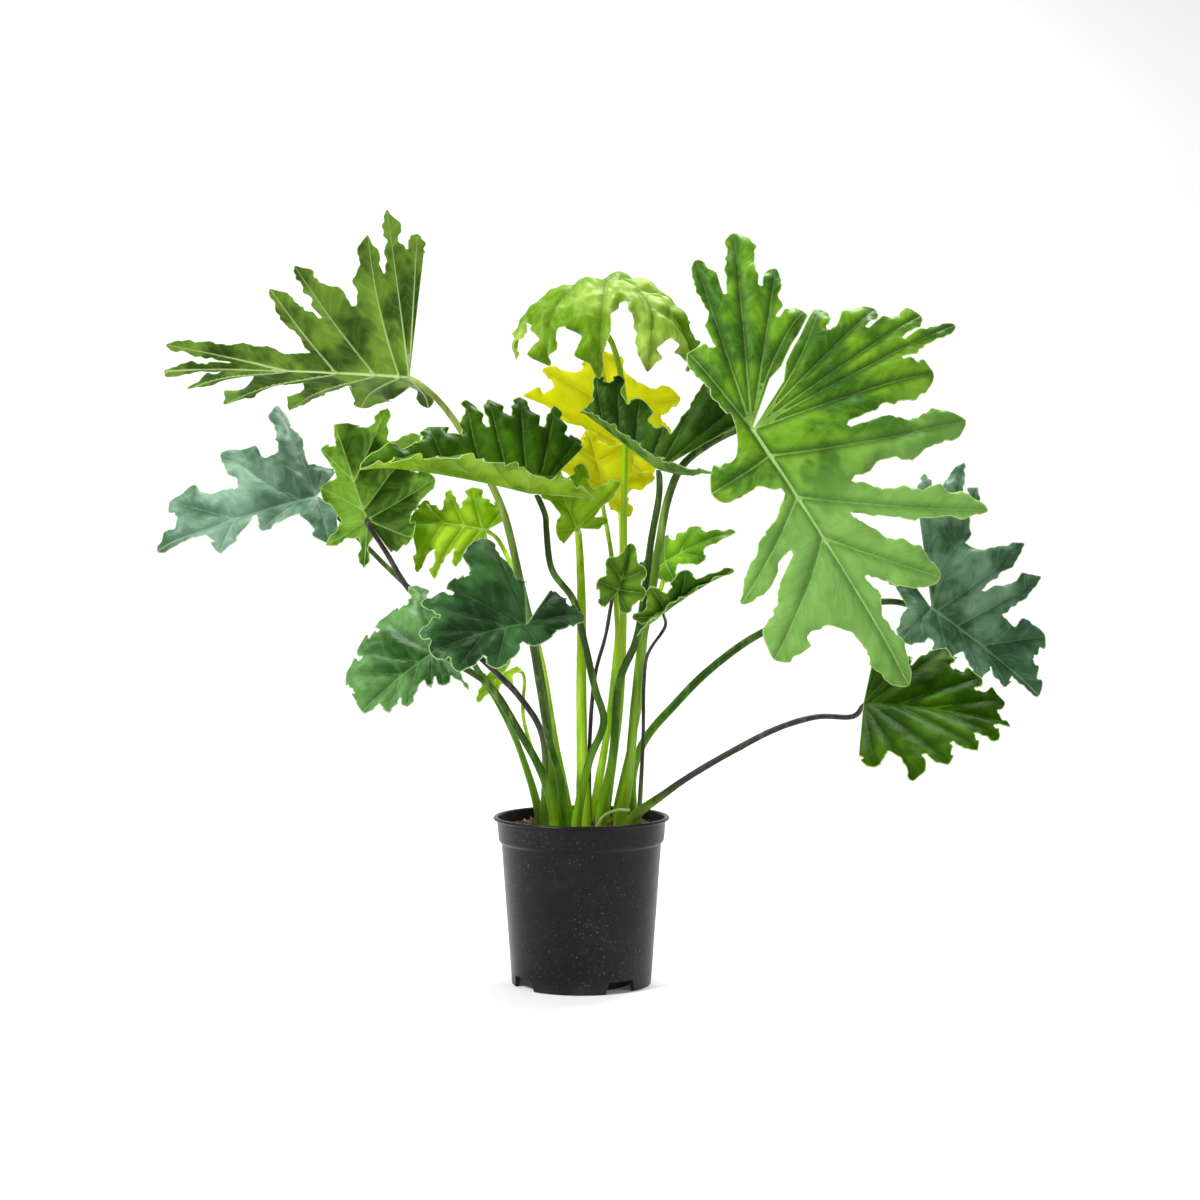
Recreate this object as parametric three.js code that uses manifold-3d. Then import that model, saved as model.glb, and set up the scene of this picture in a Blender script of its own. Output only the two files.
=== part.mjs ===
// A tree philodendron with deeply cut leaves, growing in a black nursery pot.
// Millimetres, +Z up. The origin is the middle of the pot's base, and the viewer stands on the -Y side.
import * as THREE from "three";
import Module from "manifold-3d";

const wasm = await Module();
wasm.setup();

// Pot
const RIM_RADIUS = 95;
const RIM_BEAD = 2.2;
const POT_HEIGHT = 180;
const COLLAR_HEIGHT = 29;
const COLLAR_RADIUS = 89;
const BODY_RADIUS = 86;
const BASE_RADIUS = 75;
const WALL = 1.8;
const FOOT_HEIGHT = 12.5;
const FOOT_WIDTH = 5;
const CHANNEL_WIDTH = 11;
const FLOOR_RADIUS = 54;
const NOTCH_COUNT = 4;
const NOTCH_HALF_ANGLE = 14.5;
const NOTCH_FIRST_ANGLE = -55.5;
const POT_SEGMENTS = 40;

// Soil
const SOIL_TOP = 168;
const SOIL_GAP = 0.4;
const SOIL_RINGS = 5;
const SOIL_LUMP = 1.7;
const SOIL_SEGMENTS = 28;
const ROOTED_DEPTH = 20;
const HOLE_GAP = 0.35;
const HOLE_SIDES = 10;
const STRAIGHT_RISE = 10;

// Leaves
const BLADE_THICKNESS = 1;
const WEB_ROWS = 2;
const NOTCH_SPAN = 0.35;
const RIB_BOW = 0.07;
const SINUS_SHARE = 0.12;
const LIFT_WIDTH = 0.16;
const LEAST_WIDTH = 0.035;
const GAP_REACH = 0.86;
const GAP_LIMIT = 0.94;
const WEB_LIMITS = [0.16, 0.85];
const SCALLOPS = 1.6;
const TIP_CROWDING = 1.5;
const HEADING_STEP = 0.01;
const HANG_RANGE = [0.6, 1.4];
const BARE_WIDTH = 0.012;
const BARE_BOW = 0.11;
const BARE_END = 0.12;
const ARRIVAL = { outOfFace: 0.8, alongMidrib: 0.6 };
const STALK_SIDES = 7;
const STALK_STEP = 42;
const SHEATH_LENGTH = 110;
const SHEATH_WIDENING = 1.15;
const NECK_LENGTH = 24;

const COLOURS = {
  pot_black: { color: 0x1d1e21, roughness: 0.5 },
  potting_soil: { color: 0x4a3020, roughness: 1 },
  leaf_dark: { color: 0x1f4d2a, roughness: 0.4 },
  leaf_green: { color: 0x3f7d1f, roughness: 0.42 },
  leaf_young: { color: 0x9ac414, roughness: 0.5 },
  stalk_green: { color: 0x6d9a1c, roughness: 0.45 },
  stalk_dark: { color: 0x45502a, roughness: 0.45 },
  root_pale: { color: 0xb8c878, roughness: 0.6 },
};

const plant = new THREE.Group();
plant.name = "potted_lacy_tree_philodendron";

function addMesh(name, geometry, finish) {
  const material = new THREE.MeshStandardMaterial({ ...COLOURS[finish], metalness: 0 });
  material.name = finish;
  const mesh = new THREE.Mesh(geometry, material);
  mesh.name = name;
  plant.add(mesh);
}

function geometryFrom(points, faces) {
  const geometry = new THREE.BufferGeometry();
  geometry.setAttribute("position", new THREE.Float32BufferAttribute(points.flat(), 3));
  geometry.setIndex(faces.flat());
  return geometry;
}

// Turns a list of radius and height pairs round the Z axis. The list starts and ends on the axis.
function turned(profile, segments) {
  const points = [];
  const rings = profile.map(([radius, height]) => {
    const count = radius === 0 ? 1 : segments;
    const first = points.length;
    for (let i = 0; i < count; i++) {
      const angle = (2 * Math.PI * i) / segments;
      points.push([radius * Math.cos(angle), radius * Math.sin(angle), height]);
    }
    return (i) => first + (i % count);
  });
  const faces = [];
  for (let k = 0; k + 1 < rings.length; k++) {
    for (let i = 0; i < segments; i++) {
      const [a, b, c, d] = [rings[k](i), rings[k](i + 1), rings[k + 1](i + 1), rings[k + 1](i)];
      if (a !== b) faces.push([a, b, c]);
      if (c !== d) faces.push([a, c, d]);
    }
  }
  return { points, faces };
}

function solidFrom({ points, faces }) {
  const vertProperties = new Float32Array(points.flat());
  const triVerts = new Uint32Array(faces.flat());
  return new wasm.Manifold(new wasm.Mesh({ numProp: 3, vertProperties, triVerts }));
}

function geometryOf(solid) {
  const mesh = solid.getMesh();
  const geometry = new THREE.BufferGeometry();
  geometry.setAttribute("position", new THREE.BufferAttribute(new Float32Array(mesh.vertProperties), 3));
  geometry.setIndex([...mesh.triVerts]);
  return geometry;
}

const degrees = (value) => (value * Math.PI) / 180;
const vector = (list) => new THREE.Vector3(...list);

// The inner wall follows the body's taper, and the collar steps out above it.
const bodyTop = POT_HEIGHT - COLLAR_HEIGHT;
const innerAt = (height) => BASE_RADIUS - WALL + ((BODY_RADIUS - BASE_RADIUS) * height) / bodyTop;
const channelTop = FOOT_HEIGHT + WALL;
const channelOuter = BASE_RADIUS - FOOT_WIDTH;
const channelInner = channelOuter - CHANNEL_WIDTH;

function potSolid() {
  const bead = RIM_RADIUS - RIM_BEAD;
  const profile = [
    [0, 0],
    [FLOOR_RADIUS, 0],
    [channelInner, FOOT_HEIGHT],
    [channelOuter, FOOT_HEIGHT],
    [channelOuter + 1, 0],
    [BASE_RADIUS, 0],
    [BODY_RADIUS, bodyTop],
    [COLLAR_RADIUS, bodyTop + 3],
    [bead - 2, POT_HEIGHT - 4.4],
    [bead + 1, POT_HEIGHT - 3.8],
    [RIM_RADIUS, POT_HEIGHT - RIM_BEAD],
    [bead + 1.2, POT_HEIGHT - 0.4],
    [bead - 1, POT_HEIGHT],
    [bead - 3, POT_HEIGHT - 1],
    [COLLAR_RADIUS - WALL, bodyTop + 3],
    [innerAt(bodyTop), bodyTop - 1],
    [innerAt(channelTop), channelTop],
    [channelInner - 1, channelTop],
    [FLOOR_RADIUS - 1, WALL],
    [0, WALL],
  ];
  let pot = solidFrom(turned(profile, POT_SEGMENTS));
  // Each notch is a wedge through the foot ring, as high as the channel behind it.
  for (let i = 0; i < NOTCH_COUNT; i++) {
    const middle = NOTCH_FIRST_ANGLE + (360 / NOTCH_COUNT) * i;
    pot = pot.subtract(notchSolid(middle));
  }
  return pot;
}

function notchSolid(middle) {
  const inner = channelOuter - 2;
  const outer = BASE_RADIUS + 6;
  const lift = 0.01;
  const points = [];
  for (const [height, half] of [[-2, NOTCH_HALF_ANGLE], [FOOT_HEIGHT - lift, NOTCH_HALF_ANGLE - 3]]) {
    for (const [radius, sign] of [[inner, -1], [outer, -1], [outer, 1], [inner, 1]]) {
      const angle = degrees(middle + sign * half);
      points.push([radius * Math.cos(angle), radius * Math.sin(angle), height]);
    }
  }
  const faces = [[0, 2, 1], [0, 3, 2], [4, 5, 6], [4, 6, 7]];
  for (let i = 0; i < 4; i++) {
    const next = (i + 1) % 4;
    faces.push([i, next, next + 4], [i, next + 4, i + 4]);
  }
  return solidFrom({ points, faces });
}

// The lumps of the soil, as a height over a point of its top.
function lump(x, y) {
  const long = Math.sin(x * 0.075 + 1.1) * Math.cos(y * 0.082 - 0.4);
  const short = Math.sin(x * 0.19 + y * 0.13) * Math.cos(y * 0.21 - x * 0.07);
  return SOIL_LUMP * (long + 0.7 * short);
}

function soilSolid() {
  const wall = (height) => innerAt(height) - SOIL_GAP;
  const topRadius = wall(bodyTop) + (COLLAR_RADIUS - BODY_RADIUS) / 2;
  const profile = [
    [0, WALL + SOIL_GAP],
    [FLOOR_RADIUS - 2, WALL + SOIL_GAP],
    [channelInner - 2, channelTop + SOIL_GAP],
    [wall(channelTop), channelTop + SOIL_GAP],
    [wall(bodyTop - 2), bodyTop - 2],
    [topRadius, SOIL_TOP],
  ];
  for (let i = SOIL_RINGS - 1; i >= 0; i--) {
    profile.push([(topRadius * i) / SOIL_RINGS, SOIL_TOP]);
  }
  const body = turned(profile, SOIL_SEGMENTS);
  for (const point of body.points) {
    if (point[2] === SOIL_TOP) point[2] += lump(point[0], point[1]);
  }
  return solidFrom(body);
}

// A closed tube along a curve, with rings at the given lengths along it. radii gives the half width and
// half depth at a length. With an end normal, the last ring lies in the plane across that normal.
function tube(curve, stops, radii, sides, endNormal) {
  const points = [];
  const faces = [];
  const side = new THREE.Vector3(0, 0, 1);
  const start = curve.getTangentAt(0);
  if (Math.abs(start.z) > 0.9) side.set(start.x, start.y, 0.001).cross(new THREE.Vector3(0, 0, 1));
  if (side.lengthSq() < 1e-6) side.set(1, 0, 0);
  const steps = stops.length - 1;
  stops.forEach((stop, i) => {
    const centre = curve.getPointAt(stop / stops[steps]);
    const along = curve.getTangentAt(stop / stops[steps]);
    side.addScaledVector(along, -side.dot(along)).normalize();
    const up = new THREE.Vector3().crossVectors(along, side);
    const [wide, deep] = radii(stop);
    for (let k = 0; k < sides; k++) {
      const angle = (2 * Math.PI * k) / sides;
      const offset = side.clone().multiplyScalar(wide * Math.cos(angle));
      offset.addScaledVector(up, deep * Math.sin(angle));
      if (i === steps && endNormal) {
        offset.addScaledVector(along, -offset.dot(endNormal) / along.dot(endNormal));
      }
      points.push(offset.add(centre).toArray());
    }
  });
  const ring = (i, k) => i * sides + (k % sides);
  for (let i = 0; i < steps; i++) {
    for (let k = 0; k < sides; k++) {
      faces.push([ring(i, k), ring(i, k + 1), ring(i + 1, k + 1)]);
      faces.push([ring(i, k), ring(i + 1, k + 1), ring(i + 1, k)]);
    }
  }
  for (let k = 1; k + 1 < sides; k++) {
    faces.push([ring(0, 0), ring(0, k + 1), ring(0, k)]);
    faces.push([ring(steps, 0), ring(steps, k), ring(steps, k + 1)]);
  }
  return { points, faces };
}

// Leaf plans, in fractions of the midrib's length, with the stalk's joint at 0, 0.
// Left and right are seen from above with the tip ahead, and across counts outwards on either side.
// An ear's rib starts at the joint: its tip along and across, then the gap after it along and across.
// A side lobe's rib starts part of the way up the midrib: start, tip along, across, gap along, across.
// The end lobe's rib starts at tipStart and ends at the leaf's tip.
const PLANS = {
  upper_left: {
    left: {
      ears: [[0.01, 0.64, 0.05, 0.59], [0.14, 0.74, 0.13, 0.44]],
      lobes: [[0.04, 0.21, 0.63, 0.24, 0.29], [0.14, 0.48, 0.45, 0.37, 0.23],
        [0.3, 0.6, 0.38, 0.41, 0.08], [0.5, 0.98, 0.11, 0.73, 0.03]],
    },
    right: {
      ears: [[-0.1, 0.3, -0.04, 0.22]],
      lobes: [[0.04, 0.2, 0.36, 0.25, 0.17], [0.14, 0.5, 0.42, 0.42, 0.14],
        [0.3, 0.75, 0.34, 0.6, 0.08], [0.5, 0.93, 0.15, 0.76, 0.03]],
    },
    tipStart: 0.66,
  },
  far_left: {
    left: {
      ears: [[0.04, 0.34, 0.16, 0.1]],
      lobes: [[0.1, 0.38, 0.12, 0.5, 0.08], [0.5, 0.66, 0.18, 0.7, 0.05]],
    },
    right: {
      ears: [[-0.13, 0.22, -0.04, 0.35], [0, 0.72, 0.14, 0.34]],
      lobes: [[0.1, 0.46, 0.5, 0.43, 0.19], [0.5, 0.84, 0.27, 0.82, 0.13]],
    },
    tipStart: 0.8,
  },
  left: {
    left: {
      ears: [[-0.33, 0.37, -0.04, 0.43], [0.22, 0.75, 0.42, 0.54]],
      lobes: [[0.1, 0.67, 0.75, 0.73, 0.44], [0.4, 1.05, 0.56, 0.91, 0.3]],
    },
    right: {
      ears: [[-0.48, 0.17, -0.12, 0.14], [-0.1, 0.45, 0.11, 0.25]],
      lobes: [[0.1, 0.49, 0.33, 0.55, 0.16], [0.4, 0.85, 0.21, 0.82, 0.06]],
    },
    tipStart: 0.7,
  },
  centre_left: {
    left: {
      ears: [[-0.24, 0.24, -0.08, 0.25]],
      lobes: [[0.04, 0.12, 0.32, 0.2, 0.29], [0.14, 0.38, 0.33, 0.42, 0.29],
        [0.3, 0.63, 0.29, 0.68, 0.23], [0.5, 0.86, 0.18, 0.9, 0.11]],
    },
    right: {
      ears: [[-0.22, 0.46, -0.15, 0.49], [-0.05, 0.62, 0.02, 0.43]],
      lobes: [[0.04, 0.15, 0.6, 0.21, 0.45], [0.14, 0.33, 0.54, 0.32, 0.35],
        [0.3, 0.46, 0.49, 0.48, 0.26], [0.5, 0.66, 0.31, 0.7, 0.18]],
    },
    tipStart: 0.66,
  },
  young_left: {
    left: {
      ears: [[0.02, 0.22, 0.1, 0.22]],
      lobes: [[0.05, 0.28, 0.55, 0.33, 0.33], [0.26, 0.5, 0.75, 0.55, 0.37], [0.5, 0.71, 0.7, 0.8, 0.3]],
    },
    right: {
      ears: [[-0.15, 0.31, 0.01, 0.37]],
      lobes: [[0.05, 0.26, 0.5, 0.35, 0.21], [0.26, 0.52, 0.46, 0.56, 0.16], [0.5, 0.78, 0.26, 0.9, 0.12]],
    },
    tipStart: 0.7,
  },
  lower_left: {
    left: {
      ears: [[0.1, 0.62, 0.13, 0.4], [0.24, 0.39, 0.25, 0.26]],
      lobes: [[0.04, 0.34, 0.32, 0.44, 0.3], [0.22, 0.67, 0.32, 0.73, 0.25], [0.44, 0.84, 0.22, 0.92, 0.12]],
    },
    right: {
      ears: [[-0.6, 0.5, -0.4, 0.5], [-0.5, 0.85, -0.19, 0.67]],
      lobes: [[0.04, 0.15, 0.73, 0.28, 0.56], [0.22, 0.56, 0.56, 0.63, 0.47], [0.44, 0.81, 0.44, 0.92, 0.23]],
    },
    tipStart: 0.66,
  },
  lower_front: {
    left: {
      ears: [[-0.61, -0.38, -0.72, -0.25], [-0.82, -0.11, -0.3, 0.13]],
      lobes: [[0.04, 0.02, 0.26, 0.25, 0.34], [0.22, 0.56, 0.43, 0.69, 0.36], [0.44, 0.86, 0.28, 0.91, 0.16]],
    },
    right: {
      ears: [[-0.24, 0.57, -0.19, 0.66], [-0.15, 1.07, 0.36, 0.63]],
      lobes: [[0.04, 0.54, 0.66, 0.65, 0.56], [0.22, 0.85, 0.54, 0.78, 0.3], [0.44, 1.03, 0.24, 0.98, 0.12]],
    },
    tipStart: 0.66,
  },
  back: {
    left: {
      ears: [[0.16, 0.37, 0.3, 0.38]],
      lobes: [[0.08, 0.72, 0.91, 0.74, 0.55], [0.4, 0.92, 0.62, 0.84, 0.31]],
    },
    right: {
      ears: [[-0.36, 0.31, -0.02, 0.38]],
      lobes: [[0.08, 0.1, 0.58, 0.26, 0.5], [0.4, 0.4, 0.72, 0.64, 0.32]],
    },
    tipStart: 0.7,
  },
  centre_right: {
    left: {
      ears: [[-0.5, 0.9, -0.2, 0.85]],
      lobes: [[0.1, 0.2, 0.4, 0.3, 0.3], [0.3, 0.5, 0.4, 0.6, 0.3], [0.5, 0.75, 0.3, 0.8, 0.2],
        [0.7, 0.95, 0.2, 1.0, 0.1]],
    },
    right: {
      ears: [[-0.36, 0.97, -0.29, 0.92], [-0.22, 1.11, -0.03, 0.98], [0.19, 1.04, 0.15, 0.42]],
      lobes: [[0.1, 0.24, 0.43, 0.3, 0.34], [0.3, 0.61, 0.49, 0.73, 0.42], [0.5, 0.94, 0.56, 0.96, 0.42],
        [0.7, 1.16, 0.44, 1.08, 0.25]],
    },
    tipStart: 0.8,
  },
  great_right: {
    left: {
      ears: [[-0.26, 0.43, -0.19, 0.46], [-0.16, 0.59, -0.11, 0.53], [-0.06, 0.71, -0.01, 0.6],
        [0.03, 0.79, 0.05, 0.57], [0.14, 0.63, 0.16, 0.27]],
      lobes: [[0.11, 0.34, 0.63, 0.33, 0.18], [0.28, 0.64, 0.53, 0.42, 0.12], [0.44, 0.75, 0.27, 0.62, 0.05]],
    },
    right: {
      ears: [[-0.28, -0.38, -0.33, -0.31], [-0.46, -0.38, -0.43, -0.3], [-0.65, -0.33, -0.46, -0.18],
        [-0.63, -0.16, -0.36, -0.06], [-0.36, 0.03, -0.08, 0.04]],
      lobes: [[0.11, 0.12, 0.23, 0.25, 0.03], [0.28, 0.5, 0.35, 0.43, 0.12], [0.44, 0.71, 0.35, 0.7, 0.15]],
    },
    tipStart: 0.64,
  },
  far_right: {
    left: {
      ears: [[-0.68, 0.85, -0.46, 0.7], [-0.5, 1.1, -0.4, 0.95], [-0.31, 1.02, -0.1, 0.55]],
      lobes: [[0.04, 0.23, 0.83, 0.21, 0.32], [0.22, 0.48, 0.71, 0.43, 0.27], [0.44, 0.76, 0.36, 0.79, 0.18]],
    },
    right: {
      ears: [[-0.45, -0.05, -0.27, 0.05], [-0.02, 0.36, 0.14, 0.22]],
      lobes: [[0.04, 0.34, 0.27, 0.46, 0.19], [0.22, 0.58, 0.2, 0.67, 0.11], [0.44, 0.78, 0.13, 0.88, 0.06]],
    },
    tipStart: 0.7,
  },
  lower_right: {
    left: {
      ears: [[0.09, 0.38, 0.17, 0.33], [0.27, 0.44, 0.34, 0.4]],
      lobes: [[0.04, 0.49, 0.52, 0.63, 0.39], [0.22, 0.79, 0.33, 0.83, 0.25], [0.44, 0.95, 0.18, 0.95, 0.08]],
    },
    right: {
      ears: [[0.2, 0.57, 0.3, 0.48], [0.45, 0.61, 0.5, 0.43]],
      lobes: [[0.04, 0.66, 0.46, 0.72, 0.34], [0.22, 0.85, 0.3, 0.89, 0.21], [0.44, 0.97, 0.15, 0.97, 0.07]],
    },
    tipStart: 0.7,
  },
  centre: {
    left: { ears: [[0.12, 0.32, 0.34, 0.17]], lobes: [[0.3, 0.87, 0.3, 0.84, 0.11]] },
    right: {
      ears: [[-0.05, 0.5, 0.09, 0.34], [0.41, 0.94, 0.52, 0.48]],
      lobes: [[0.3, 0.95, 0.52, 0.8, 0.2]],
    },
    tipStart: 0.6,
  },
  inner_right: {
    left: {
      ears: [[0.02, 0.57, 0.2, 0.38]],
      lobes: [[0.08, 0.69, 0.77, 0.68, 0.4], [0.45, 0.94, 0.44, 0.84, 0.16]],
    },
    right: {
      ears: [[-0.6, 0.35, -0.2, 0.36]],
      lobes: [[0.08, -0.05, 0.87, 0.2, 0.54], [0.45, 0.57, 0.78, 0.66, 0.26]],
    },
    tipStart: 0.7,
  },
  lobed: {
    ears: [[-0.34, 0.3, -0.12, 0.28]],
    lobes: [[0.05, 0.14, 0.52, 0.24, 0.28], [0.26, 0.58, 0.4, 0.62, 0.2]],
    tipStart: 0.55,
  },
  rounded: {
    ears: [[-0.28, 0.34, -0.1, 0.4]],
    lobes: [[0.05, 0.22, 0.54, 0.38, 0.44], [0.26, 0.66, 0.44, 0.78, 0.3]],
    tipStart: 0.55,
  },
  umbrella: {
    left: {
      ears: [[-0.7, 0.38, -0.34, 0.3], [-0.35, 0.88, -0.03, 0.36]],
      lobes: [[0.06, 0.34, 0.96, 0.32, 0.32], [0.3, 0.74, 0.6, 0.68, 0.2]],
    },
    right: {
      ears: [[-0.78, 0.4, -0.46, 0.46], [-0.4, 0.88, -0.12, 0.66]],
      lobes: [[0.06, 0.26, 0.96, 0.3, 0.36], [0.3, 0.78, 0.66, 0.72, 0.34]],
    },
    tipStart: 0.6,
  },
};

// A repeatable number from 0 to 1 for each leaf and each use.
function draw(seed, use) {
  const value = Math.sin(seed * 12.9898 + use * 78.233) * 43758.5453;
  return value - Math.floor(value);
}

// One side's lobes, from the ear at the stalk to the tip, each with its rib and the gap that follows it.
function sideLobes(plan, sign, leaf) {
  const half = plan.left ? (sign > 0 ? plan.left : plan.right) : plan;
  const width = leaf.width[sign > 0 ? 0 : 1];
  const rows = [...half.ears.map((row) => [0, ...row]), ...half.lobes];
  const lobes = rows.map(([start, tipX, tipY, gapX, gapY], k) => {
    const reach = 1 + leaf.vary * (2 * draw(leaf.seed, k + (sign > 0 ? 0 : 20)) - 1);
    const tip = [start + (tipX - start) * reach, sign * width * tipY * reach];
    const bow = k === 0 && leaf.bare > 0 ? sign * BARE_BOW : 0;
    return { start: [start, 0], tip, gap: [gapX, sign * width * gapY], bow };
  });
  lobes.push({ start: [plan.tipStart, 0], tip: [1, 0], gap: null, bow: 0 });
  lobes.slice(0, -1).forEach((lobe, k) => {
    lobe.gap = gapWithin(lobe.gap, lobe, lobes[k + 1]);
  });
  return lobes;
}

// Draws a gap in towards the midrib until both its lobes stand out past it.
function gapWithin(gap, before, after) {
  const root = between(before, after);
  const shares = [before, after].map((lobe) => {
    const far = reachOf(lobe, gap);
    return far > GAP_REACH ? (far - GAP_REACH) / (far - reachOf(lobe, root)) : 0;
  });
  return mix(gap, root, Math.max(...shares));
}

const mix = (a, b, t) => a.map((value, i) => value + (b[i] - value) * t);
const minus = (a, b) => [a[0] - b[0], a[1] - b[1]];
const size = (a) => Math.hypot(a[0], a[1]);

// The place on the midrib halfway between the starts of two lobes' ribs.
const between = (one, two) => [(one.start[0] + two.start[0]) / 2, 0];

// A side lobe's rib bows a little towards the leaf's tip. An ear's is straight, unless it has a bow of
// its own away from the back of the joint.
function ribPoint(lobe, t) {
  const middle = mix(lobe.start, lobe.tip, 0.5);
  if (lobe.start[0] > 0) middle[0] += RIB_BOW * Math.abs(lobe.tip[1]);
  middle[0] += lobe.bow * lobe.tip[1];
  middle[1] -= lobe.bow * lobe.tip[0];
  const a = mix(lobe.start, middle, t);
  const b = mix(middle, lobe.tip, t);
  return mix(a, b, t);
}

// How far up a lobe's rib a gap beside it lies.
function reachOf(lobe, gap) {
  const rib = minus(lobe.tip, lobe.start);
  const to = minus(gap, lobe.start);
  return (to[0] * rib[0] + to[1] * rib[1]) / (rib[0] ** 2 + rib[1] ** 2);
}

const limited = (value, low, high) => Math.min(high, Math.max(low, value));

const cross = (a, b) => a[0] * b[1] - a[1] * b[0];
const dot = (a, b) => a[0] * b[0] + a[1] * b[1];

// The line that two neighbouring lobes keep to their own sides of: out of the gap, between their tips.
function dividerAt(gap, one, two) {
  const toOne = minus(one.tip, gap);
  const toTwo = minus(two.tip, gap);
  const along = [0, 1].map((n) => toOne[n] / size(toOne) + toTwo[n] / size(toTwo));
  return { point: gap, along };
}

// The line between the first ears of the left and the right half, round the back of the joint.
function backDivider(left, right) {
  const turn = 2 * Math.PI;
  const leftAngle = (Math.atan2(left.tip[1], left.tip[0]) + turn) % turn;
  const rightAngle = ((Math.atan2(right.tip[1], right.tip[0]) - turn) % turn) + turn;
  const angle = (leftAngle + rightAngle) / 2;
  return { point: [0, 0], along: [Math.cos(angle), Math.sin(angle)] };
}

// Draws a margin point back towards its rib where it would cross the line to its neighbour.
function heldBack(edge, rib, divider) {
  const ribSide = cross(minus(rib, divider.point), divider.along);
  const edgeSide = cross(minus(edge, divider.point), divider.along);
  if (ribSide * edgeSide > 0 && Math.abs(edgeSide) > SINUS_SHARE * Math.abs(ribSide)) return edge;
  return mix(rib, edge, ((1 - SINUS_SHARE) * ribSide) / (ribSide - edgeSide));
}

// The place beside a rib, part of the way up it and at a distance to its left.
function beside(lobe, t, distance) {
  const [x, y] = ribPoint(lobe, t);
  const [aheadX, aheadY] = minus(ribPoint(lobe, t + HEADING_STEP), [x, y]);
  const share = distance / size([aheadX, aheadY]);
  return [x - aheadY * share, y + aheadX * share];
}

// Half of a lobe, as two rows of points that end at its tip: one along the rib and one along the margin.
// Each point has its place in the flat leaf, a key that neighbours share, and its lift off the blade.
// The rows stand closer together towards the tip, which is round.
function halfLobe(leaf, lobe, { k, sign, half, web, gap, from, divider }) {
  const rowAt = (i) => 1 - (1 - i / leaf.rows) ** TIP_CROWDING;
  const side = sign > 0 ? 0 : 1;
  const own = limited(reachOf(lobe, gap), 0, GAP_LIMIT);
  const headingAt = (t) => {
    const heading = minus(ribPoint(lobe, t + HEADING_STEP), ribPoint(lobe, t));
    return heading.map((value) => value / size(heading));
  };
  const toGap = minus(gap, ribPoint(lobe, own));
  const wide = cross(headingAt(own), toGap);
  const ahead = dot(headingAt(own), toGap);
  const phase = 2 * Math.PI * draw(leaf.seed, 40 + 2 * k + half + 30 * side);
  const hangs = mix([HANG_RANGE[0]], [HANG_RANGE[1]], draw(leaf.seed, 90 + k + 11 * side));
  const hang = leaf.hang * hangs[0];
  const isTip = lobe.start[1] === 0 && lobe.tip[1] === 0;
  const ribName = isTip ? "tip" : `${sign} ${k}`;
  const rib = [{ flat: lobe.start, key: `spine ${lobe.start[0].toFixed(5)}`, lift: 0 }];
  for (let i = 1; i < WEB_ROWS; i++) {
    rib.push({ flat: ribPoint(lobe, (web * i) / WEB_ROWS), key: `web ${ribName} ${i}`, lift: 0 });
  }
  const margin = [];
  if (from) margin.push({ flat: from, key: `spine ${from[0].toFixed(5)}`, lift: 0 });
  else if (leaf.bare > 0) {
    margin.push({ flat: beside(lobe, leaf.bare, sign * BARE_WIDTH), key: `bare ${sign}`, lift: 0 });
  }
  for (let i = 0; i <= leaf.rows; i++) {
    const u = rowAt(i);
    rib.push({ flat: ribPoint(lobe, web + (1 - web) * u), key: `rib ${ribName} ${i}`, lift: -hang * u * u });
  }
  for (let i = 0; i < leaf.rows; i++) {
    const u = rowAt(i);
    const t = own + (1 - own) * u;
    const drawn = Math.sin((Math.PI / 2) * Math.min(1, u / NOTCH_SPAN));
    const scallop = 1 + leaf.scallop * 4 * u * (1 - u) * Math.sin(2 * Math.PI * SCALLOPS * u + phase);
    const narrowed = mix([Math.abs(wide)], [Math.min(Math.abs(wide), leaf.finger)], drawn)[0];
    const fullest = Math.sign(wide) * Math.max(narrowed * (1 - leaf.notch * drawn), LEAST_WIDTH);
    const reach = fullest * Math.sqrt(1 - u ** leaf.blunt) * scallop;
    const [headX, headY] = headingAt(t);
    const lead = ahead * (1 - u);
    const [ribX, ribY] = ribPoint(lobe, t);
    let flat = i === 0 ? gap : [ribX + headX * lead - headY * reach, ribY + headY * lead + headX * reach];
    if (i > 0 || !from) flat = heldBack(flat, ribPoint(lobe, t), divider);
    const wave = leaf.ruffle * Math.sqrt(4 * u * (1 - u)) * Math.sin(2 * Math.PI * leaf.waves * u + phase);
    const key = i === 0 && from ? `gap ${sign} ${k + half}` : `margin ${sign} ${k} ${half} ${i}`;
    const room = Math.min(1, size(minus(flat, ribPoint(lobe, t))) / LIFT_WIDTH);
    margin.push({ flat, key, lift: room * (leaf.puff * (1 - u) + wave) - hang * u * u });
  }
  return { rib, margin };
}

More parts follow.
